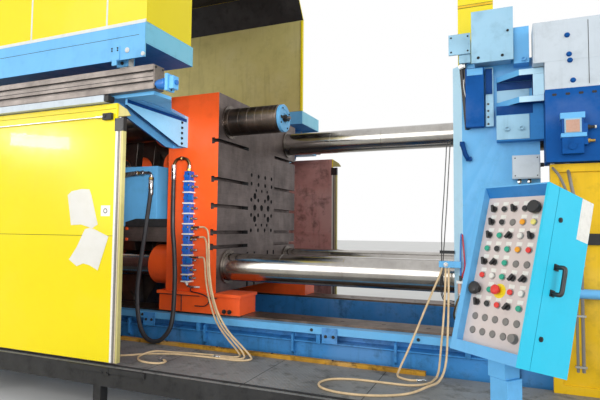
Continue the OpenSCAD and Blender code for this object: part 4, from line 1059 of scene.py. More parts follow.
class MACHINE_OT_doors(bpy.types.Operator):
    """Builds the two sliding doors with their skins, edge profiles, pull rod and papers"""

    bl_idname = "machine.doors"
    bl_label = "Doors"

    def execute(self, context):
        self.panel("door_near", "near_door", -1)
        self.near_details()
        self.panel("door_far", "far_door", 1)
        dressed("door_tracks", "grey", "soot", edge=0.002, add=self.track_ends,
                repaint=[(lambda c, n: c.z < 0.7, "soot")])
        dressed("door_posts", "sky", edge=0.004)
        return {"FINISHED"}

    def panel(self, node, body, side):
        low, high = span(node)
        outer = low.y if side < 0 else high.y
        bottom, top, left, right = low.z + 0.018, high.z, low.x, high.x
        skin = right - DOOR_EDGE

        def box(x0, x1, depth0, depth1, z0, z1, finish):
            """Depth is measured from the outer face, towards the machine."""
            piece.block((x0, outer - side * depth0, z0), (x1, outer - side * depth1, z1), finish)

        piece = Piece(f"{node}_skins", "lemon", "oxide", "soot")
        box(left, skin, 0.001, 0.009, bottom, 1.518, "lemon")
        box(left, skin, 0.001, 0.009, 1.522, top - 0.048, "lemon")
        box(left, skin, 0.0, 0.012, top - 0.045, top, "lemon")
        box(left, skin, 0.009, 0.031, bottom + 0.002, top - 0.002, "soot")
        box(left + 0.01, skin, 0.031, 0.0325, bottom + 0.01, top - 0.01, "oxide")
        for z in (bottom, 1.02, 1.5, 2.05, top - 0.05):
            box(left, skin, 0.0325, 0.0395, z, z + 0.05, "oxide")
        for x in (left, left + 0.8, left + 1.6, left + 2.4, skin - 0.05):
            box(x, x + 0.05, 0.0325, 0.0398, bottom, top, "oxide")
        piece.close(body, "yellow", 0.0012, [node])

        piece = Piece(f"{node}_edge", "white plastic", "grey plastic", "soot", "beige", "khaki", "black",
                      "lemon")
        for start, stop, finish, depth in DOOR_STRIPS:
            box(skin + start, skin + stop, depth, 0.04, bottom, top - 0.242, finish)
        box(skin - 0.012, right + 0.01, -0.001, 0.041, top - 0.242, top - 0.13, "black")
        box(skin - 0.006, right + 0.004, -0.0025, 0.02, top - 0.226, top - 0.146, "black")
        box(skin, right - 0.062, 0.001, 0.031, top - 0.13, top, "lemon")
        hook = [(right - 0.062, top - 0.112), (right + 0.068, top - 0.109), (right + 0.03, top - 0.06),
                (right - 0.062, top - 0.002)]
        piece.prism(hook, "Y", *sorted((outer - side * 0.016, outer - side * 0.02)), "khaki")
        box(right - 0.062, right + 0.062, 0.008, 0.03, top - 0.116, top - 0.109, "khaki")
        wheel = [(0.0, 0.0), (0.022, 0.0), (0.022, 0.006), (0.019, 0.008), (0.019, 0.012), (0.022, 0.014),
                 (0.022, 0.02), (0.0, 0.02)]
        for x in (left + 0.3, right - 0.3):
            piece.turned((x, outer - side * 0.012, low.z + 0.022), (0, -side, 0), wheel, "black", 24)
        piece.close(body, "pale_grey", 0.001)

    def near_details(self):
        """The near door's pull rod, its papers and its lock."""
        low, high = span("door_near")
        outer, skin, shift = low.y, high.x - DOOR_EDGE, high.x + 2.57
        piece = Piece("door_near_pull_rod", "bright", "soot")
        z = 2.535
        piece.rod((low.x + 0.1, outer - 0.014, z), (skin - 0.12, outer - 0.014, z), 0.005, "bright", 10)
        piece.rod((skin - 0.208, outer - 0.014, z), (skin - 0.12, outer - 0.014, z), 0.0115, "bright", 6)
        piece.block((skin - 0.123, outer - 0.03, z - 0.03), (skin - 0.03, outer + 0.001, z + 0.026), "soot")
        piece.rod((skin - 0.1, outer - 0.036, z), (skin - 0.1, outer, z), 0.014, "soot", 16)
        for x in (low.x + 0.1, low.x + 1.7):
            piece.block((x - 0.012, outer - 0.021, z - 0.012), (x + 0.012, outer + 0.001, z + 0.012), "soot")
        piece.close("near_door", "pale_grey", 0.0008)

        piece = Piece("door_near_papers", "paper", "black", "white plastic")
        sheets = [
            [(-3.161, 1.871), (-3.118, 1.904), (-3.0, 1.922), (-2.912, 1.917), (-2.888, 1.867),
             (-2.807, 1.615), (-2.869, 1.582), (-2.993, 1.614), (-3.111, 1.608), (-3.132, 1.725)],
            [(-2.947, 1.575), (-2.89, 1.585), (-2.847, 1.577), (-2.684, 1.515), (-2.79, 1.228),
             (-2.884, 1.268), (-2.957, 1.281), (-3.028, 1.254), (-3.12, 1.309), (-3.036, 1.416)],
        ]
        for number, sheet in enumerate(sheets):
            lift = 0.0012 + number * 0.001
            face = [(x + shift, z) for x, z in sheet]
            piece.prism(face, "Y", outer - lift, outer - lift + 0.0008, "paper")
        piece.block((-2.776 + shift, outer - 0.001, 1.686), (-2.678 + shift, outer + 0.001, 1.776),
                    "white plastic")
        piece.rod((-2.727 + shift, outer - 0.0016, 1.731), (-2.727 + shift, outer, 1.731), 0.022, "black", 18)
        piece.rod((-2.727 + shift, outer - 0.0022, 1.731), (-2.727 + shift, outer, 1.731), 0.014,
                  "white plastic", 18)
        piece.close("near_door", "pale_grey", 0)

    def track_ends(self, piece):
        piece.block((-2.74, -1.992, 2.66), (-2.695, -1.918, 2.71), "soot")


class MACHINE_OT_hood(bpy.types.Operator):
    """Builds the sliding hood over the clamp: walls, roof, tray edges and rollers"""

    bl_idname = "machine.hood"
    bl_label = "Hood"

    def execute(self, context):
        rim = span("hood_near_wall")[1].x
        # The khaki on the hood's inner faces is the lemon paint in painted shade
        dressed("hood_near_wall", "lemon", "khaki", "white", edge=0.004, add=self.seams,
                repaint=[(lambda c, n: n.y > 0.5, "khaki")])
        dressed("hood_end_panels", "lemon", edge=0.004)
        dressed("hood_inner_walls", "khaki", "lemon", edge=0.004, add=self.rims, repaint=[
            (lambda c, n: n.x > 0.9 or (n.y < -0.5 and c.y < 0) or (n.y > 0.5 and c.y > 0), "lemon")])
        dressed("hood_roof", "lemon", "soot", "walkway", edge=0.004,
                # Painted shade: the roof's underside in the sooty black
                repaint=[(lambda c, n: n.z < -0.05 and abs(n.x) < 0.5, "soot"),
                         (lambda c, n: n.z > 0.9, "walkway")])
        dressed("hood_trays", "sky", "aqua", "white", "soot", "mid", edge=0.002, add=self.tray_details,
                # Painted light: the trays' end faces in a lighter blue; painted shade: their undersides in
                # the mid blue
                repaint=[(lambda c, n: n.x > 0.9 and c.x > rim - 0.02, "aqua"),
                         (lambda c, n: n.z < -0.9, "mid")])
        dressed("hood_rollers", "sky", "white plastic", "soot", edge=0.002, add=self.roller_pins, repaint=[
            (lambda c, n: abs(abs(c.y) - 1.9) < 0.031 and c.z < 3.04, "white plastic")])
        return {"FINISHED"}

    def seams(self, piece):
        low, high = span("hood_near_wall")
        for x in (-4.52, -3.62, -2.72):
            piece.block((x - 0.009, low.y - 0.003, low.z + 0.01), (x + 0.009, low.y + 0.001, high.z - 0.004),
                        "white")
        piece.block((low.x, low.y - 0.004, low.z), (high.x, low.y + 0.001, low.z + 0.022), "white")

    def rims(self, piece):
        low, high = span("hood_inner_walls")
        piece.block((high.x - 0.03, high.y - 0.045, low.z), (high.x - 0.001, high.y - 0.029, high.z - 0.01),
                    "lemon")

    def tray_details(self, piece):
        low, high = span("hood_trays")
        face = low.y
        piece.block((low.x, face - 0.002, high.z - 0.012), (high.x, face + 0.06, high.z + 0.001), "white")
        piece.block((low.x, face - 0.0012, 3.175), (high.x, face + 0.001, 3.179), "soot")
        piece.block((high.x - 0.06, face - 0.0035, low.z), (high.x, face + 0.001, high.z - 0.014), "sky")
        hook = -2.61
        piece.block((hook - 0.05, face - 0.006, 2.99), (hook + 0.05, face + 0.001, 3.105), "sky")
        piece.block((hook - 0.03, face - 0.006, 2.945), (hook + 0.02, face + 0.006, 2.99), "sky")
        piece.bolts((hook, face - 0.006, 3.07), "-Y", grid((-0.03, 0.03), (0.0, 0.02)), 0.011, "soot")
        knob = [(0.0, 0.0), (0.022, 0.0), (0.022, 0.006), (0.012, 0.009), (0.012, 0.013), (0.0, 0.014)]
        piece.turned((-2.48, face - 0.001, 3.06), (0, -1, 0), knob, "white", 24)
        plug = [(0.0, 0.0), (0.018, 0.0), (0.018, 0.012), (0.014, 0.016), (0.0, 0.016)]
        piece.turned((-2.316, face + 0.004, 3.01), (0, -1, 0), plug, "white", 24)

    def roller_pins(self, piece):
        low, high = span("hood_rollers")
        for x in (low.x + 0.06, high.x - 0.06):
            for side in SIDES:
                for out in SIDES:
                    piece.bolt((x, side * (RAIL + out * 0.042), 2.986), (0, side * out, 0), 0.022, "soot")


# What the moving platen carries

# The plane in which the manifold's fittings stand
TAP = -1.005


class MACHINE_OT_platen_fittings(bpy.types.Operator):
    """Finishes the rails, their brackets, the water manifold and the core and ejector blocks"""

    bl_idname = "machine.platen_fittings"
    bl_label = "Platen fittings"

    def execute(self, context):
        dressed("hood_rails", "rail steel", "soot", "sky", "blue tube", edge=0.002, add=self.rail_ends)
        dressed("rail_brackets", "sky", "shade", "soot", "mid", "soft lit sky", edge=0.003,
                add=self.bracket_bolts, repaint=[
                    # Painted shade: the flanges' down-facing faces in the shaded blue
                    (lambda c, n: n.z < -0.2 and abs(n.y) > 0.3, "shade"),
                    # Painted shade: the faces that turn to -X in the mid blue
                    (lambda c, n: n.x < -0.5, "mid"),
                    # Painted light: the web's face that turns to +X in a lighter blue
                    (lambda c, n: n.x > 0.9 and -2.62 < c.x < -2.6, "soft lit sky"),
                ])
        self.manifold()
        self.pipe()
        dressed("core_valve_block", "sky", "soot", "grey plastic", edge=0.006, add=self.core_ports,
                repaint=[(lambda c, n: n.z < -0.2, "soot")])
        dressed("ejector_beams", "soot", "orange", "rail steel", edge=0.006, add=self.ejector_plugs,
                repaint=[(lambda c, n: abs(n.y) > 0.9, "rail steel")])
        return {"FINISHED"}

    def rail_ends(self, piece):
        low, high = span("hood_rails")
        end = high.x
        for side in SIDES:
            piece.block((end, side * 1.838, low.z + 0.004), (end + 0.008, side * 1.962, high.z - 0.004),
                        "rail steel")
            piece.bolts((end + 0.008, side * RAIL, (low.z + high.z) / 2), "X",
                        grid((-0.045, 0.045), (-0.08, 0.08)), 0.013, "soot")
            for z in (2.79, 2.832, 2.874):
                piece.block((low.x, side * 1.9651, z - 0.0025), (end, side * 1.967, z + 0.0025), "soot")
        buffer = [(0.0, 0.0), (0.03, 0.0), (0.03, 0.02), (0.038, 0.024), (0.05, 0.1), (0.05, 0.112),
                  (0.034, 0.114), (0.034, 0.125), (0.0, 0.126)]
        piece.turned((end - 0.002, -1.925, 2.768), (1, 0, 0), buffer, "blue tube", 24)
        piece.block((end + 0.122, -1.975, 2.7), (end + 0.15, -1.88, 2.838), "sky")
        piece.block((end + 0.152, -1.96, 2.715), (end + 0.196, -1.89, 2.82), "sky")
        piece.rod((end + 0.12, -1.925, 2.768), (end + 0.21, -1.925, 2.768), 0.02, "blue tube", 16)
        for z in (2.712, 2.826):
            piece.bolt((end + 0.15, -1.925, z), (1, 0, 0), 0.014, "soot")

    def bracket_bolts(self, piece):
        for side in SIDES:
            for step in range(5):
                piece.bolt((-2.61, side * 1.071, 2.439 + step * 0.053), (1, 0, 0), 0.02, "soot", True)
            # A thin dark strip at the top of the web: a painted shadow under the top plate
            piece.block((-2.611, side * 0.992, 2.668), (-2.608, side * 1.856, 2.6995), "shade")

    def manifold(self):
        low, high = span("water_manifold")
        near, far, middle_x = low.y, high.y, low.x + 0.03
        piece = Piece("water_manifold_segments", "deep blue paint", "blue tube", "bright", "brass", "soot",
                      "white plastic")
        tap = [(0.0, 0.0), (0.009, 0.0), (0.009, 0.02), (0.0125, 0.022), (0.0105, 0.032), (0.0125, 0.034),
               (0.0105, 0.044), (0.0125, 0.046), (0.009, 0.06), (0.0, 0.061)]
        joints = (1.061, 1.13, 1.219, 1.321, 1.422, 1.531, 1.633, 1.736, 1.839, 1.948, 2.058, 2.168)
        for step, (low_z, top_z) in enumerate(zip(joints, joints[1:])):
            wide = 0.036 if step % 2 else 0.03
            z = (low_z + top_z) / 2
            left, right = middle_x - wide, middle_x + wide
            piece.block((left, near, low_z + 0.008), (right, far, top_z - 0.008), "deep blue paint")
            piece.block((left - 0.004, near - 0.005, z - 0.012), (middle_x + 0.01, near, z + 0.012),
                        "blue tube")
            piece.block((middle_x - 0.043, near - 0.009, low_z - 0.007),
                        (middle_x + 0.05, far, low_z + 0.007), "white plastic")
            piece.rod((middle_x - 0.06, -1.01, low_z), (middle_x - 0.04, -1.01, low_z), 0.01, "brass", 8)
            piece.rod((right - 0.002, TAP, z), (right + 0.018, TAP, z), 0.016, "brass", 6)
            piece.turned((right + 0.014, TAP, z), (1, 0, 0), tap, "bright", 14)
            piece.rod((left + 0.002, TAP, z), (left - 0.014, TAP, z), 0.012, "bright", 6)
            if step in (2, 8):
                piece.block((right, near - 0.022, z - 0.026), (middle_x + 0.085, near + 0.002, z + 0.026),
                            "blue tube")
            piece.bolt((middle_x + 0.02, near, z + 0.018), (0, -1, 0), 0.013, "brass" if step % 2 else "soot")
        piece.rod((middle_x, TAP, 1.03), (middle_x, TAP, 1.062), 0.022, "bright", 6)
        piece.sweep([(middle_x, TAP, 1.04), (middle_x + 0.004, TAP, 1.018), (middle_x + 0.03, TAP, 1.008),
                     (middle_x + 0.09, -1.0, 1.006), (middle_x + 0.13, -0.975, 1.004)], 0.011, "bright", 10)
        for route in WATER_ROUTES:
            x, z = route[0][0], route[0][2]
            piece.rod((middle_x + 0.028, TAP, z), (x + 0.002, TAP, z), 0.0095, "brass", 12)
            piece.rod((x - 0.024, TAP, z), (x + 0.004, TAP, z), 0.0135, "bright", 6)
        piece.close("moving_platen", "deep_blue", 0.0012, ["water_manifold"])

    def pipe(self):
        """The bent pipe over the manifold and the fittings that lead to the core valve block."""
        right, left, radius = span("manifold_pipe")[1].x - 0.017, -2.743, 0.0155
        middle = (left + right) / 2
        piece = Piece("manifold_pipe_bent", "bronze", "bright", "brass")

        def upright(x, z0, z1, radius, finish, sides):
            piece.rod((x, TAP, z0), (x, TAP, z1), radius, finish, sides)

        bend = [(right, 2.18), (right, 2.21), (right - 0.004, 2.245), (right - 0.03, 2.284),
                (middle + 0.02, 2.298), (middle - 0.02, 2.298), (left + 0.03, 2.284), (left + 0.004, 2.245),
                (left, 2.21)]
        piece.sweep([(x, TAP, z) for x, z in bend], radius, "bronze", 14)
        upright(right, 2.165, 2.192, 0.026, "brass", 6)
        upright(right, 2.19, 2.225, 0.02, "bright", 16)
        upright(left, 2.19, 2.225, 0.022, "bright", 16)
        piece.rod((middle - 0.014, TAP, 2.298), (middle + 0.014, TAP, 2.298), 0.024, "bright", 6)
        piece.rod((middle, TAP - 0.014, 2.3), (middle, TAP - 0.034, 2.3), 0.011, "brass", 6)
        elbow = [(-3.03, 2.1), (-3.03, 2.13), (-3.042, 2.156), (-3.07, 2.166), (-3.13, 2.166)]
        piece.sweep([(x, TAP, z) for x, z in elbow], radius, "bright", 14)
        upright(-3.03, 2.09, 2.118, 0.027, "brass", 6)
        for start, wide, finish in ((-3.13, 0.026, "bright"), (-3.17, 0.021, "brass"),
                                    (-3.2, 0.027, "bright")):
            piece.rod((start, TAP, 2.166), (start - 0.028, TAP, 2.166), wide, finish, 6)
        piece.close("moving_platen", "bright_steel", 0.001, ["manifold_pipe"])

    def core_ports(self, piece):
        low, high = span("core_valve_block")
        foot = [(low.x + 0.2, low.z), (high.x - 0.006, low.z), (high.x - 0.006, low.z + 0.085),
                (low.x + 0.34, low.z + 0.085), (low.x + 0.2, low.z + 0.05)]
        piece.prism(foot, "Y", low.y - 0.003, low.y + 0.001, "soot")
        piece.sweep([(-3.225, TAP, 2.166), (-3.28, TAP, 2.162), (-3.36, -1.0, 2.15), (-3.45, -0.99, 2.14),
                     (-3.56, low.y - 0.016, 2.1), (-3.62, low.y + 0.01, 2.02)], 0.021, "grey plastic", 12)
        for step in range(9):
            x, z = -3.24 - step * 0.02, 2.165 - step * 0.0015
            piece.rod((x, TAP, z), (x - 0.009, TAP, z - 0.0005), 0.0245, "soot", 14)

    def ejector_plugs(self, piece):
        low, high = span("ejector_beams")
        for side in SIDES:
            edge = side * high.y
            for z in (low.z + 0.022, high.z - 0.022):
                piece.rod((-3.455, edge - side * 0.001, z), (-3.455, edge + side * 0.02, z), 0.017, "orange",
                          16)


# Fixed platen's near side

# The front plane of the valve block and the relay cabinet
BOX_FACE = -1.225


class MACHINE_OT_platen_side(bpy.types.Operator):
    """Builds the brackets, valve block, relay cabinet and guards on the fixed platen"""

    bl_idname = "machine.platen_side"
    bl_label = "Fixed platen fittings"

    def execute(self, context):
        dressed("platen_brackets", "plate", "sky", "soot", "bright", "mid", "shade", "pale lit sky", edge=0.003,
                add=self.bracket_details, repaint=[
                    (lambda c, n: c.x > 0.33 and c.z < 2.87, "sky"),
                    (lambda c, n: c.x > 0.469 and c.z > 2.86, "sky"),
                    # Painted shade: the lower block, whose right part sits in a recess, in the mid blue
                    (lambda c, n: c.x > 0.33 and 2.28 < c.z < 2.567, "mid"),
                    # Painted light: the arms' front faces in a paler blue
                    (lambda c, n: c.x > 0.5 and c.y < -1.12 and 2.56 < c.z < 2.83 and n.y < -0.9, "pale lit sky"),
                    # Painted shade: the arms' undersides
                    (lambda c, n: c.x > 0.33 and 2.55 < c.z < 2.83 and n.z < -0.5, "shade"),
                    # Painted shade: the web's inner face
                    (lambda c, n: 0.59 < c.x < 0.61 and 2.6 < c.z < 2.8 and n.x < -0.5, "shade"),
                    (lambda c, n: c.x < 0.1 and c.z < 1.4, "sky"),
                ])
        dressed("valve_block", "deep", "soot", "plate", "window", "brass", "white", "sky", edge=0.008,
                add=self.valve_details, repaint=[(lambda c, n: 0.255 < c.x < 0.33, "plate")])
        dressed("relay_cabinet", "grey", "deep", "soot", "bright", edge=0.005, add=self.cabinet_details)
        dressed("platen_top_guard", "lemon", "soot", "amber", edge=0.004, add=self.guard_fold)
        self.conduits()
        self.handle()
        return {"FINISHED"}

    def bracket_details(self, piece):
        y = -SIDE
        piece.block((0.34, y - 0.096, 2.3), (0.575, y - 0.0895, 2.49), "plate")
        piece.bolts((0, y - 0.096, 2.382), "-Y", grid((0.418, 0.518)), 0.034, "plate", True)
        # A painted shadow on the lower block, under the lower arm
        piece.block((0.342, y - 0.093, 2.495), (0.6, y - 0.0895, 2.563), "shade")
        # A painted shadow on the platen's side, under the upper arm
        piece.block((0.344, y - 0.003, 2.71), (0.598, y + 0.001, 2.773), "shade")
        piece.block((0.344, y - 0.003, 2.612), (0.58, y + 0.001, 2.709), "plate")
        piece.bolt((0.541, y - 0.11, 2.912), (0, -1, 0), 0.034, "sky", True)
        piece.bolts((0, y - 0.15, 0), "-Y", grid((0.215, 0.39), (2.95,)), 0.016, "soot", True)
        piece.bolt((0.43, y - 0.15, 3.14), (0, -1, 0), 0.014, "soot", True)
        piece.bolts((0, y - 0.06, 0), "-Y", grid((0.0, 0.13), (3.05, 3.17)), 0.011, "soot")
        piece.rod((0.1, y - 0.01, 2.78), (0.1, y - 0.01, 3.04), 0.016, "bright", 16)
        piece.rod((0.1, y - 0.01, 3.04), (0.1, y - 0.01, 3.06), 0.024, "bright", 6)
        piece.bolt((-0.055, y - 0.045, 1.316), (0, -1, 0), 0.026, "bright")
        for x in (-0.06, -0.088, -0.036):
            piece.rod((x, -0.985, 1.286), (x, -0.985, 1.296), 0.0115, "bright", 6)

    def valve_details(self, piece):
        y = BOX_FACE
        for x in (0.735, 0.821, 0.905, 0.987, 1.07):
            piece.rod((x - 0.006, y + 0.0005, 2.578), (x - 0.006, y - 0.0015, 2.578), 0.0095, "soot", 14)
            piece.rod((x + 0.006, y + 0.0005, 2.578), (x + 0.006, y - 0.0016, 2.578), 0.0095, "soot", 14)
        piece.block((0.775, y - 0.05, 2.14), (0.91, y + 0.001, 2.42), "deep")
        piece.block((0.765, y - 0.056, 2.388), (0.92, y + 0.001, 2.43), "sky")
        piece.block((0.768, y - 0.058, 2.256), (0.928, y + 0.001, 2.284), "sky")
        piece.block((0.79, y - 0.06, 2.284), (0.897, y - 0.048, 2.388), "plate")
        piece.block((0.799, y - 0.063, 2.289), (0.885, y - 0.058, 2.377), "window")
        piece.rod((0.84, y - 0.05, 2.19), (0.84, y - 0.058, 2.19), 0.024, "deep", 24)
        knob = [(0.0, 0.0), (0.017, 0.0), (0.017, 0.015), (0.011, 0.018), (0.011, 0.045), (0.0, 0.046)]
        for z, finish in ((2.228, "brass"), (2.323, "soot")):
            piece.turned((0.935, y - 0.03, z), (1, 0, 0), knob, finish, 16)
        piece.rod((0.978, y - 0.03, 2.323), (0.99, y - 0.03, 2.323), 0.011, "white", 16)
        piece.block((0.905, y - 0.045, 2.2), (0.936, y + 0.001, 2.35), "deep")
        for z in (2.13, 2.53):
            piece.bolt((1.09, y, z), (0, -1, 0), 0.022, "soot", True)
        piece.block((0.123, -SIDE - 0.0815, 2.835), (0.243, -SIDE - 0.079, 2.89), "sky")

    def cabinet_details(self, piece):
        y = BOX_FACE
        for x, z in ((0.824, 3.006), (0.834, 2.865), (0.839, 2.82), (0.856, 2.673)):
            piece.bolt((x, y, z), (0, -1, 0), 0.026, "deep")
        piece.block((0.955, y - 0.002, 2.64), (0.959, y + 0.001, 3.1), "soot")
        piece.block((0.61, y - 0.004, 2.84), (0.625, y + 0.001, 3.11), "grey")
        for z in (2.7, 3.05):
            piece.rod((1.09, y - 0.008, z - 0.03), (1.09, y - 0.008, z + 0.03), 0.009, "bright", 12)
        low_y = -1.045
        piece.block((0.456, low_y - 0.008, 2.002), (0.639, low_y + 0.001, 2.166), "grey")
        for x in (0.47, 0.625):
            for z in (2.016, 2.152):
                piece.rod((x, low_y - 0.0095, z), (x, low_y - 0.007, z), 0.005, "soot", 10)
        for x in (0.5, 0.57):
            piece.rod((x, -1.005, 1.996), (x, -1.005, 1.965), 0.013, "soot", 12)
            piece.rod((x, -1.005, 1.98), (x, -1.005, 1.965), 0.017, "bright", 6)
        piece.rod((0.645, -1.005, 2.1), (0.672, -1.005, 2.1), 0.016, "soot", 12)

    def guard_fold(self, piece):
        low = span("platen_top_guard")[0]
        # An amber band with two dark lines along the fold: painted shade in the fold
        piece.prism([(0.041, 3.478), (0.319, 3.478), (0.319, 3.498), (0.041, 3.498)], "Y", -0.8625, -0.8598,
                    "amber")
        for z in (3.474, 3.499):
            piece.block((0.041, -0.8618, z), (0.319, -0.8598, z + 0.003), "soot")
        for x in (0.12, 0.28):
            piece.bolt((x, low.y, 3.02), (0, -1, 0), 0.018, "soot")

    def conduits(self):
        piece = Piece("platen_conduits", "grey plastic", "black", "bright")
        routes = [
            ([(0.67, -1.005, 2.1), (0.69, -1.03, 2.1), (0.71, -1.11, 2.08), (0.722, -1.19, 2.045),
              (0.755, -1.225, 1.99), (0.79, -1.232, 1.9), (0.83, -1.228, 1.75), (0.85, -1.222, 1.5),
              (0.85, -1.218, 1.2), (0.85, -1.218, 0.9), (0.85, -1.218, 0.62)], 0.0095, "grey plastic"),
            ([(0.815, -1.13, 2.092), (0.816, -1.15, 2.05), (0.82, -1.2, 2.0), (0.83, -1.229, 1.92),
              (0.85, -1.231, 1.8), (0.88, -1.224, 1.55), (0.885, -1.218, 1.2), (0.885, -1.218, 0.9),
              (0.885, -1.218, 0.62)], 0.0115, "grey plastic"),
            ([(0.72, -1.13, 2.092), (0.722, -1.13, 2.03), (0.73, -1.11, 1.96), (0.72, -1.07, 1.88),
              (0.69, -1.02, 1.8), (0.66, -0.985, 1.72), (0.655, -0.96, 1.6)], 0.009, "black"),
            ([(0.5, -1.005, 1.966), (0.5, -1.003, 1.9), (0.51, -0.99, 1.8), (0.53, -0.976, 1.6),
              (0.53, -0.975, 1.2), (0.53, -0.975, 0.8)], 0.007, "grey plastic"),
            ([(0.57, -1.005, 1.966), (0.57, -1.003, 1.9), (0.56, -0.99, 1.8), (0.545, -0.976, 1.6),
              (0.545, -0.975, 1.2), (0.545, -0.975, 0.8)], 0.006, "black"),
        ]
        for route, radius, finish in routes:
            piece.sweep(route, radius, finish, 10)
        for x in (0.815, 0.72):
            piece.rod((x, -1.13, 2.091), (x, -1.13, 2.07), 0.017, "bright", 6)
        for z in (1.35, 1.0, 0.65):
            piece.block((0.832, -1.233, z), (0.905, -1.1995, z + 0.014), "bright")
        for z in (1.55, 1.1, 0.86):
            piece.block((0.515, -0.983, z), (0.558, -0.9645, z + 0.012), "bright")
        piece.close("machine_frame", "dark_steel", 0.0008)
        piece = Piece("die_side_cables", "black", "soot")
        for shift in (0.0, 0.027):
            piece.sweep([(0.002, -0.872, 2.35 - shift), (-0.02 + shift * 0.3, -0.888, 2.35 - shift),
                         (-0.052 + shift, -0.898, 2.31), (-0.06 + shift, -0.9, 2.2),
                         (-0.078 + shift, -0.9, 1.9), (-0.098 + shift, -0.9, 1.6),
                         (-0.1 + shift * 0.6, -0.9, 1.42), (-0.106 + shift * 0.4, -0.9, 1.25),
                         (-0.112 + shift * 0.4, -0.9, 1.12), (-0.09 + shift * 0.4, -0.895, 1.02),
                         (-0.03, -0.882, 0.985 + shift), (0.002, -0.872, 0.98 + shift)],
                        0.004, "black", 8)
        piece.block((-0.115, -0.914, 1.4), (0.002, -0.884, 1.425), "soot")
        piece.close("machine_frame", "dark_steel", 0)
        self.corner_tubes()

    def corner_tubes(self):
        """Air and water lines clipped to the chamfer of the platen's near corner."""
        piece = Piece("corner_tubes", "blue tube", "red tube", "black", "white", "window", "bronze", "bright")
        piece.sweep([(0.062, -0.945, 1.565), (0.061, -0.966, 1.55), (0.057, -0.972, 1.46),
                     (0.055, -0.972, 1.33), (0.055, -0.966, 1.22)], 0.0065, "blue tube", 8)
        piece.sweep([(0.067, -0.945, 1.562), (0.072, -0.97, 1.548), (0.08, -0.98, 1.46),
                     (0.088, -0.982, 1.34), (0.087, -0.978, 1.29), (0.072, -0.972, 1.24),
                     (0.066, -0.966, 1.21)], 0.0065, "red tube", 8)
        piece.rod((0.055, -0.966, 1.185), (0.055, -0.966, 1.228), 0.0125, "black", 16)
        piece.block((0.022, -0.975, 1.165), (0.082, -0.925, 1.188), "white")
        piece.rod((0.045, -0.962, 1.085), (0.045, -0.962, 1.166), 0.0145, "window", 18)
        piece.rod((0.045, -0.962, 1.07), (0.045, -0.962, 1.086), 0.0165, "bright", 6)
        piece.sweep([(0.045, -0.962, 1.075), (0.04, -0.962, 1.05), (0.022, -0.958, 1.01),
                     (0.006, -0.945, 0.95), (-0.004, -0.92, 0.9), (0.004, -0.885, 0.86)], 0.008, "bronze", 10)
        piece.close("machine_frame", "dark_steel", 0)
        piece = Piece("block_side_cables_and_shadow", "black", "white plastic", "bright", "anodised", "shade")
        # A black sheet behind the two cables: a painted shadow in the gap beside the block
        piece.prism([(0.06, 2.915), (0.102, 2.915), (0.143, 2.416), (0.1, 2.412)], "Y", -0.972, -0.9645,
                    "black")
        for x, y in ((0.0, -0.985), (0.02, -0.982)):
            piece.sweep([(0.08 + x, -0.963, 2.93), (0.082 + x, y, 2.91), (0.09 + x, y, 2.8),
                         (0.101 + x * 0.8, y, 2.67), (0.11 + x * 0.6, y, 2.55), (0.116 + x * 0.4, y, 2.44),
                         (0.118 + x * 0.4, -0.963, 2.42)], 0.0125, "black", 10)
        piece.sweep([(0.094, -0.996, 2.82), (0.096, -0.998, 2.76), (0.105, -0.999, 2.7),
                     (0.118, -0.998, 2.65), (0.124, -0.992, 2.61)], 0.0045, "white plastic", 8)
        piece.rod((0.074, -0.963, 2.93), (0.074, -1.0, 2.93), 0.02, "bright", 18)
        piece.rod((0.074, -1.0, 2.93), (0.074, -1.014, 2.93), 0.015, "bright", 6)
        piece.block((0.262, -1.0175, 2.68), (0.312, -1.009, 2.885), "shade")
        for z in (2.6, 2.545, 2.495, 2.44):
            piece.rod((0.28, -1.009, z), (0.28, -1.0118, z), 0.009, "anodised", 14)
        piece.close("machine_frame", "dark_steel", 0.0006)

    def handle(self):
        piece = Piece("platen_handle", "shade")
        y = -SIDE
        piece.sweep([(0.078, y + 0.001, 2.296), (0.079, y - 0.03, 2.294), (0.086, y - 0.036, 2.27),
                     (0.102, y - 0.036, 2.21), (0.118, y - 0.034, 2.178),
                     (0.126, y + 0.001, 2.172)], 0.0185, "shade", 14)
        piece.block((0.06, y - 0.04, 2.278), (0.096, y + 0.001, 2.312), "shade")
        piece.block((0.106, y - 0.04, 2.155), (0.15, y + 0.001, 2.186), "shade")
        piece.close("machine_frame", "dark_steel", 0)


# Console

CONSOLE_TURN = math.radians(-39.7)
CONSOLE = (Matrix.Translation((0.566, -2.8178, 1.808)) @ Matrix.Rotation(CONSOLE_TURN, 4, "Z")
           @ Matrix.Rotation(math.radians(-15.9), 4, "X"))
BUTTONS = [
    ["black", "black", "black", "black", "big knob"],
    ["black", "black", "plug", "amber", "pale"],
    ["black", "green", "selector", "white", "black"],
    ["green", "black", "green", "amber", "red"],
    ["black", "selector", "green", "plug", "plug"],
    ["red", "white", "green", "selector", "selector"],
    ["mushroom", "green", "stop", "red", "white"],
    ["black", "black", "red", "selector", "green"],
    ["plug", "plug", "plug", "plug", "plug"],
    ["plug", "plug", "plug", "plug", "dial"],
]
CAPS = {"black": "black", "green": "green", "red": "red", "white": "white plastic", "amber": "amber plastic",
        "pale": "pale yellow"}

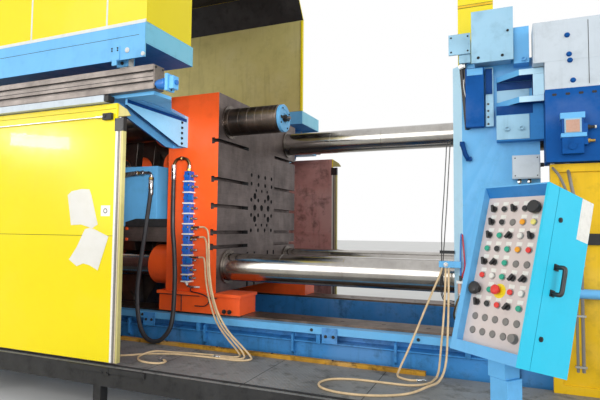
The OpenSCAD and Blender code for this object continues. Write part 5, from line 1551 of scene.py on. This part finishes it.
# For each kind of large knob, its turned parts: shift across and up, (radius, height) steps, finish and sides
KNOBS = {
    "plug": [(0, 0, [(0.0, 0.0), (0.0165, 0.0), (0.0165, 0.002), (0.014, 0.005), (0.0, 0.0055)],
              "grey plastic", 20)],
    "dial": [(0, 0, [(0.0, 0.0), (0.022, 0.0), (0.022, 0.004), (0.018, 0.022), (0.0, 0.023)],
              "grey plastic", 24)],
    "big knob": [(0.004, 0, [(0.0, 0.0), (0.02, 0.0), (0.02, 0.014), (0.029, 0.016), (0.029, 0.034),
                             (0.026, 0.038), (0.0, 0.038)], "black", 28)],
    "mushroom": [(-0.012, -0.004, [(0.0, 0.0), (0.017, 0.0), (0.017, 0.02), (0.03, 0.024), (0.03, 0.034),
                                   (0.022, 0.042), (0.0, 0.045)], "black", 28)],
    "stop": [(-0.004, 0, [(0.0, 0.0), (0.033, 0.0), (0.033, 0.0015), (0.0, 0.002)], "yellow", 32),
             (-0.012, 0.002, [(0.0, 0.0), (0.013, 0.0), (0.013, 0.014), (0.022, 0.017), (0.022, 0.026),
                              (0.016, 0.032), (0.0, 0.034)], "red", 28)],
}
BEZEL = (0, 0, [(0.0, 0.0), (0.0165, 0.0), (0.0165, 0.002), (0.0145, 0.0055), (0.0125, 0.0055),
                (0.0, 0.0055)], "bright", 20)
GRIP = [(0.0, 0.004), (0.015, 0.004), (0.0138, 0.016), (0.0, 0.0165)]
CAP = [(0.0, 0.004), (0.0128, 0.004), (0.0128, 0.0105), (0.0114, 0.0125), (0.0, 0.013)]

# The control panel's plane, its first button, and the steps to the next column and row
PANEL_FACE = 0.04
FIRST_BUTTON = (-0.275, -0.104)
BUTTON_STEP = (0.0565, -0.0642)


class MACHINE_OT_console(bpy.types.Operator):
    """Builds the operator's console: box, visor, panel, buttons, knobs, handle and locks"""

    bl_idname = "machine.console"
    bl_label = "Console"

    def execute(self, context):
        self.box()
        self.controls()
        dressed("console_post", "sky", "soot", edge=0.005, add=self.foot_bolts)
        return {"FINISHED"}

    def box(self):
        piece = Piece("console_cabinet", "cyan", "sky", "panel", "black", "white plastic", "soot", "mid")
        wide, deep, tall, out = 0.352, 0.316, 0.79, 0.024

        def part(corner, opposite, finish):
            piece.block(corner, opposite, finish, CONSOLE)

        part((-wide, 0.072, -tall), (out, deep, 0), "cyan")
        part((-wide + 0.002, 0.068, -tall + 0.002), (out - 0.002, 0.073, -0.002), "soot")
        part((out - 0.012, 0.0, -tall), (out, 0.069, 0), "cyan")
        part((-wide, 0.0, -tall), (-wide + 0.03, 0.069, 0), "sky")
        part((-wide + 0.03, 0.0, -0.006), (out - 0.012, 0.069, 0), "sky")
        piece.prism([(0.001, -0.0055), (0.042, -0.0055), (0.042, -0.048)], "X", -wide + 0.03, out - 0.012,
                    "mid", CONSOLE)
        part((-wide + 0.03, 0.0, -tall), (out - 0.012, 0.069, -tall + 0.05), "sky")
        part((-wide + 0.029, 0.04, -tall + 0.049), (out - 0.011, 0.046, -0.02), "panel")
        lock = ((-0.001, 0.006, 0.011, "soot", 20), (0.005, 0.009, 0.006, "black", 16))
        for z in (-0.14, -0.655):
            for start, stop, radius, finish, sides in lock:
                ends = [CONSOLE @ Vector((out + x, 0.105, z)) for x in (start, stop)]
                piece.rod(*ends, radius, finish, sides)
        part((out - 0.0005, 0.232, -0.19), (out + 0.001, deep - 0.002, -0.001), "white plastic")
        grip = [(0.0, 0.128, -0.345), (0.028, 0.131, -0.343), (0.038, 0.136, -0.352), (0.038, 0.138, -0.4),
                (0.038, 0.136, -0.45), (0.028, 0.131, -0.459), (0.0, 0.128, -0.457)]
        piece.sweep([CONSOLE @ Vector((out + x, y, z)) for x, y, z in grip], 0.01, "black", 12)
        for z in (-0.345, -0.457):
            part((out - 0.0005, 0.114, z - 0.014), (out + 0.005, 0.142, z + 0.014), "black")
        neck = CONSOLE @ Vector((-wide / 2, deep / 2, -tall))
        stem = Matrix.Translation((neck.x, neck.y, 0)) @ Matrix.Rotation(CONSOLE_TURN, 4, "Z")
        foot = span("console_box")[0].z + 0.0005
        piece.block((-0.0465, -0.0465, foot), (0.0465, 0.0465, neck.z + 0.06), "sky", stem)
        piece.close("console", "sky_blue", 0.0022, ["console_box"], 3)

    def controls(self):
        piece = Piece("console_controls", "bright", "black", "green", "red", "white plastic", "amber plastic",
                      "pale yellow", "grey plastic", "yellow")
        ahead = (CONSOLE.to_3x3() @ Vector((0, -1, 0))).normalized()
        for row, kinds in enumerate(BUTTONS):
            for column, kind in enumerate(kinds):
                x = FIRST_BUTTON[0] + column * BUTTON_STEP[0]
                z = FIRST_BUTTON[1] + row * BUTTON_STEP[1]
                for across, up, steps, finish, sides in KNOBS.get(kind, [BEZEL]):
                    place = CONSOLE @ Vector((x + across, PANEL_FACE, z + up))
                    piece.turned(place, ahead, steps, finish, sides)
                if kind in KNOBS:
                    continue
                piece.block((x - 0.0145, PANEL_FACE - 0.0012, z + 0.0185),
                            (x + 0.0145, PANEL_FACE + 0.0005, z + 0.0355), "white plastic", CONSOLE)
                place = CONSOLE @ Vector((x, PANEL_FACE, z))
                if kind == "selector" or (kind == "black" and column % 2 == 0):
                    piece.turned(place, ahead, GRIP, "black", 20)
                    lean = Matrix.Rotation(math.radians(38 if kind == "selector" else -18), 4, "Y")
                    turn = CONSOLE @ Matrix.Translation((x, PANEL_FACE, z)) @ lean
                    piece.block((-0.0055, -0.026, -0.017), (0.0055, -0.015, 0.017), "black", turn)
                    piece.block((-0.001, -0.0256, 0.002), (0.001, -0.0245, 0.0115), "white plastic", turn)
                else:
                    piece.turned(place, ahead, CAP, CAPS[kind], 20)
        piece.close("console", "dark_steel", 0)

    def foot_bolts(self, piece):
        low, high = span("console_post")
        middle = (low + high) / 2
        turn = Matrix.Rotation(CONSOLE_TURN, 3, "Z")
        for x, y in grid((-0.135, 0.135), (-0.135, 0.135)):
            spot = turn @ Vector((x, y, 0))
            piece.bolt((middle.x + spot.x, middle.y + spot.y, 0.02), (0, 0, 1), 0.024, "soot")


# Injection and clamp ends

# The height of the shot cylinder's axis, and the accumulators' distance from the middle plane
SHOT_AXIS = 1.655
TANK = 0.78


class MACHINE_OT_injection_end(bpy.types.Operator):
    """Finishes the shot cylinder, sleeve, plunger, accumulators, stand and their guards"""

    bl_idname = "machine.injection_end"
    bl_label = "Injection end"

    def execute(self, context):
        dressed("shot_frame", "deep", "soot", edge=0.004, add=self.frame_bolts)
        dressed("shot_cylinder", "deep", "soot", "black rubber", edge=0.004, add=self.cylinder_bolts)
        dressed("shot_sleeve", "oiled", edge=0.002)
        dressed("shot_plunger", "ground", edge=0.002)
        dressed("accumulators", "deep", "soot", "bright", edge=0.004, add=self.straps)
        dressed("shot_stand", "deep", "soot", "bright", edge=0.006, add=self.stand_details)
        dressed("injection_guard", "amber", "soot", "sky", edge=0.004, add=self.guard_details)
        return {"FINISHED"}

    def frame_bolts(self, piece):
        end = span("shot_frame")[1].x
        for side in SIDES:
            for z in (1.32, 1.99):
                for y in (0.4, 0.28):
                    piece.bolt((end, side * y, z), (1, 0, 0), 0.05, "soot")

    def cylinder_bolts(self, piece):
        end = span("shot_cylinder")[1].x
        piece.bolts((end - 0.032, 0, SHOT_AXIS), "X", around(10, 0.16, 0.5), 0.036, "soot", True)
        for x in (2.75, 3.15, 3.55):
            piece.ring((x, 0, SHOT_AXIS), (x + 0.03, 0, SHOT_AXIS), 0.219, 0.214, "deep", 48)
        piece.sweep([(3.3, 0.12, 1.86), (3.3, 0.2, 1.98), (3.2, 0.42, 2.1), (3.12, 0.6, 1.9),
                     (3.05, 0.66, 1.5), (3.02, 0.7, 1.2)], 0.03, "black rubber", 14)

    def straps(self, piece):
        low, high = span("accumulators")
        valve = [(0.0, 0.0), (0.03, 0.0), (0.03, 0.03), (0.022, 0.034), (0.022, 0.05), (0.0, 0.051)]
        for x in (low.x + 0.18, high.x - 0.18):
            for z in (1.25, 2.2):
                piece.ring((x, TANK, z), (x, TANK, z + 0.05), 0.186, 0.1795, "bright", 48)
                piece.block((x - 0.03, 0.585, z + 0.005), (x + 0.03, 0.601, z + 0.045), "bright")
                piece.bolt((x, 0.586, z + 0.025), (0, -1, 0), 0.02, "soot")
            piece.turned((x, TANK, high.z - 0.002), (0, 0, 1), valve, "bright", 20)

    def stand_details(self, piece):
        low, high = span("shot_stand")
        for x in (2.3, 2.9, 3.5):
            piece.block((x, -0.572, 0.12), (x + 0.45, -0.559, 0.5), "deep")
            piece.bolts((x, -0.572, 0), "-Y", grid((0.03, 0.42), (0.15, 0.47)), 0.018, "soot")
        for x in (low.x + 0.12, high.x - 0.12):
            piece.block((x - 0.07, -0.6, 0.0), (x + 0.07, -0.559, 0.03), "soot")
            piece.bolt((x, -0.585, 0.03), (0, 0, 1), 0.026, "bright")
        piece.ring((high.x - 0.001, 0.2, 0.36), (high.x + 0.02, 0.2, 0.36), 0.12, 0.07, "soot", 32)

    def guard_details(self, piece):
        for side in SIDES:
            outer = side * span("injection_guard")[1].y
            piece.block((0.76, outer, 1.5), (2.44, outer + side * 0.006, 1.58), "soot")
            piece.rod((0.8, outer + side * 0.034, 1.16), (2.4, outer + side * 0.034, 1.16), 0.034, "sky", 24)
            for x in (0.85, 1.6, 2.35):
                piece.block((x - 0.015, outer + side * 0.001, 1.145), (x + 0.015, outer + side * 0.04, 1.175),
                            "sky")
            for x in (1.28, 1.86):
                piece.block((x - 0.004, outer - side * 0.012, 0.5), (x + 0.004, outer + side * 0.002, 2.04),
                            "soot")


class MACHINE_OT_clamp_end(bpy.types.Operator):
    """Finishes the clamp cylinder, its guards and the toggle's links, pins and crosshead"""

    bl_idname = "machine.clamp_end"
    bl_label = "Clamp end"

    def execute(self, context):
        dressed("clamp_cylinder", "deep", "soot", "bright", edge=0.005, add=self.ports)
        dressed("clamp_guards", "amber", "soot", edge=0.004, add=self.guard_seams)
        for node in ("rear_link_upper", "rear_link_lower", "front_link_upper", "front_link_lower",
                     "crosshead_link_upper", "crosshead_link_lower"):
            dressed(node, "link steel", edge=0.006)
        dressed("crosshead", "link steel", "ground", edge=0.004,
                repaint=[(lambda c, n: c.x < -3.93 and abs(n.x) < 0.5, "ground")])
        for node in ("rear_pins", "toggle_pins"):
            dressed(node, "ground", "soot", edge=0.003,
                    add=lambda piece, name=node: self.pin_ends(piece, name))
        return {"FINISHED"}

    def ports(self, piece):
        low, high = span("clamp_cylinder")
        piece.bolts((low.x, 0, AXIS), "-X", around(12, 0.235, 0.5), 0.036, "soot", True)
        port = [(0.0, 0.0), (0.05, 0.0), (0.05, 0.03), (0.034, 0.034), (0.034, 0.07), (0.0, 0.071)]
        for x in (low.x + 0.14, high.x - 0.2):
            piece.turned((x, 0, high.z - 0.002), (0, 0, 1), port, "bright", 24)
        piece.sweep([(low.x + 0.14, 0, high.z + 0.06), (low.x + 0.14, 0, high.z + 0.13),
                     (low.x + 0.25, 0.0, high.z + 0.18), (low.x + 0.6, 0.05, high.z + 0.19),
                     (high.x - 0.45, 0.05, high.z + 0.18), (high.x - 0.22, 0.0, high.z + 0.14),
                     (high.x - 0.2, 0, high.z + 0.06)], 0.024, "bright", 14)

    def guard_seams(self, piece):
        low, high = span("clamp_guards")
        for side in SIDES:
            outer = side * high.y
            for x in (-4.85, -4.55):
                piece.block((x - 0.004, outer - side * 0.014, 0.5), (x + 0.004, outer + side * 0.0015, 2.55),
                            "soot")
            for z in (0.7, 1.5, 2.35):
                for x in (low.x + 0.03, high.x - 0.03):
                    piece.bolt((x, outer, z), (0, side, 0), 0.018, "soot")

    def pin_ends(self, piece, node):
        low, high = span(node)
        middle = (low.x + high.x) / 2
        for side in SIDES:
            edge = side * high.y
            for z in (low.z + 0.08, high.z - 0.08):
                ends = [(middle, y, z) for y in sorted((edge - side * 0.001, edge + side * 0.008))]
                piece.rod(*ends, 0.07, "soot", 24)
                piece.bolts((middle, edge + side * 0.008, z), facing_y(side), around(3, 0.045), 0.02,
                            "ground", True)


STEPS = (
    MACHINE_OT_stage, MACHINE_OT_hoses, MACHINE_OT_platens, MACHINE_OT_tie_bars, MACHINE_OT_bed,
    MACHINE_OT_walkways, MACHINE_OT_doors, MACHINE_OT_hood, MACHINE_OT_platen_fittings,
    MACHINE_OT_platen_side, MACHINE_OT_console, MACHINE_OT_injection_end, MACHINE_OT_clamp_end,
)


class MACHINE_PT_panel(bpy.types.Panel):
    """The machine's steps, in the order in which they run"""

    bl_label = "Die Casting Machine"
    bl_idname = "MACHINE_PT_panel"
    bl_space_type = "VIEW_3D"
    bl_region_type = "UI"
    bl_category = "Machine"

    def draw(self, context):
        column = self.layout.column(align=True)
        for step in STEPS:
            column.operator(step.bl_idname)
        for owner in (sizes(), paints()):
            box = self.layout.box()
            for key in type(owner).__annotations__:
                box.prop(owner, key)


CLASSES = (MachinePaint, MachineSizes, *STEPS, MACHINE_PT_panel)


def register():
    for cls in CLASSES:
        bpy.utils.register_class(cls)
    bpy.types.Scene.machine_paint = bpy.props.PointerProperty(type=MachinePaint)
    bpy.types.Scene.machine_sizes = bpy.props.PointerProperty(type=MachineSizes)


def unregister():
    del bpy.types.Scene.machine_sizes
    del bpy.types.Scene.machine_paint
    for cls in reversed(CLASSES):
        bpy.utils.unregister_class(cls)


def main():
    register()
    FINISHES.update(make_finishes())
    for step in STEPS:
        group, name = step.bl_idname.split(".")
        getattr(getattr(bpy.ops, group), name)()
    bare = [name for name, thing in NODES.items() if not thing.hide_render and not thing.data.materials]
    if bare:
        raise RuntimeError(f"nodes without a finish: {bare}")


if __name__ == "__main__":
    main()
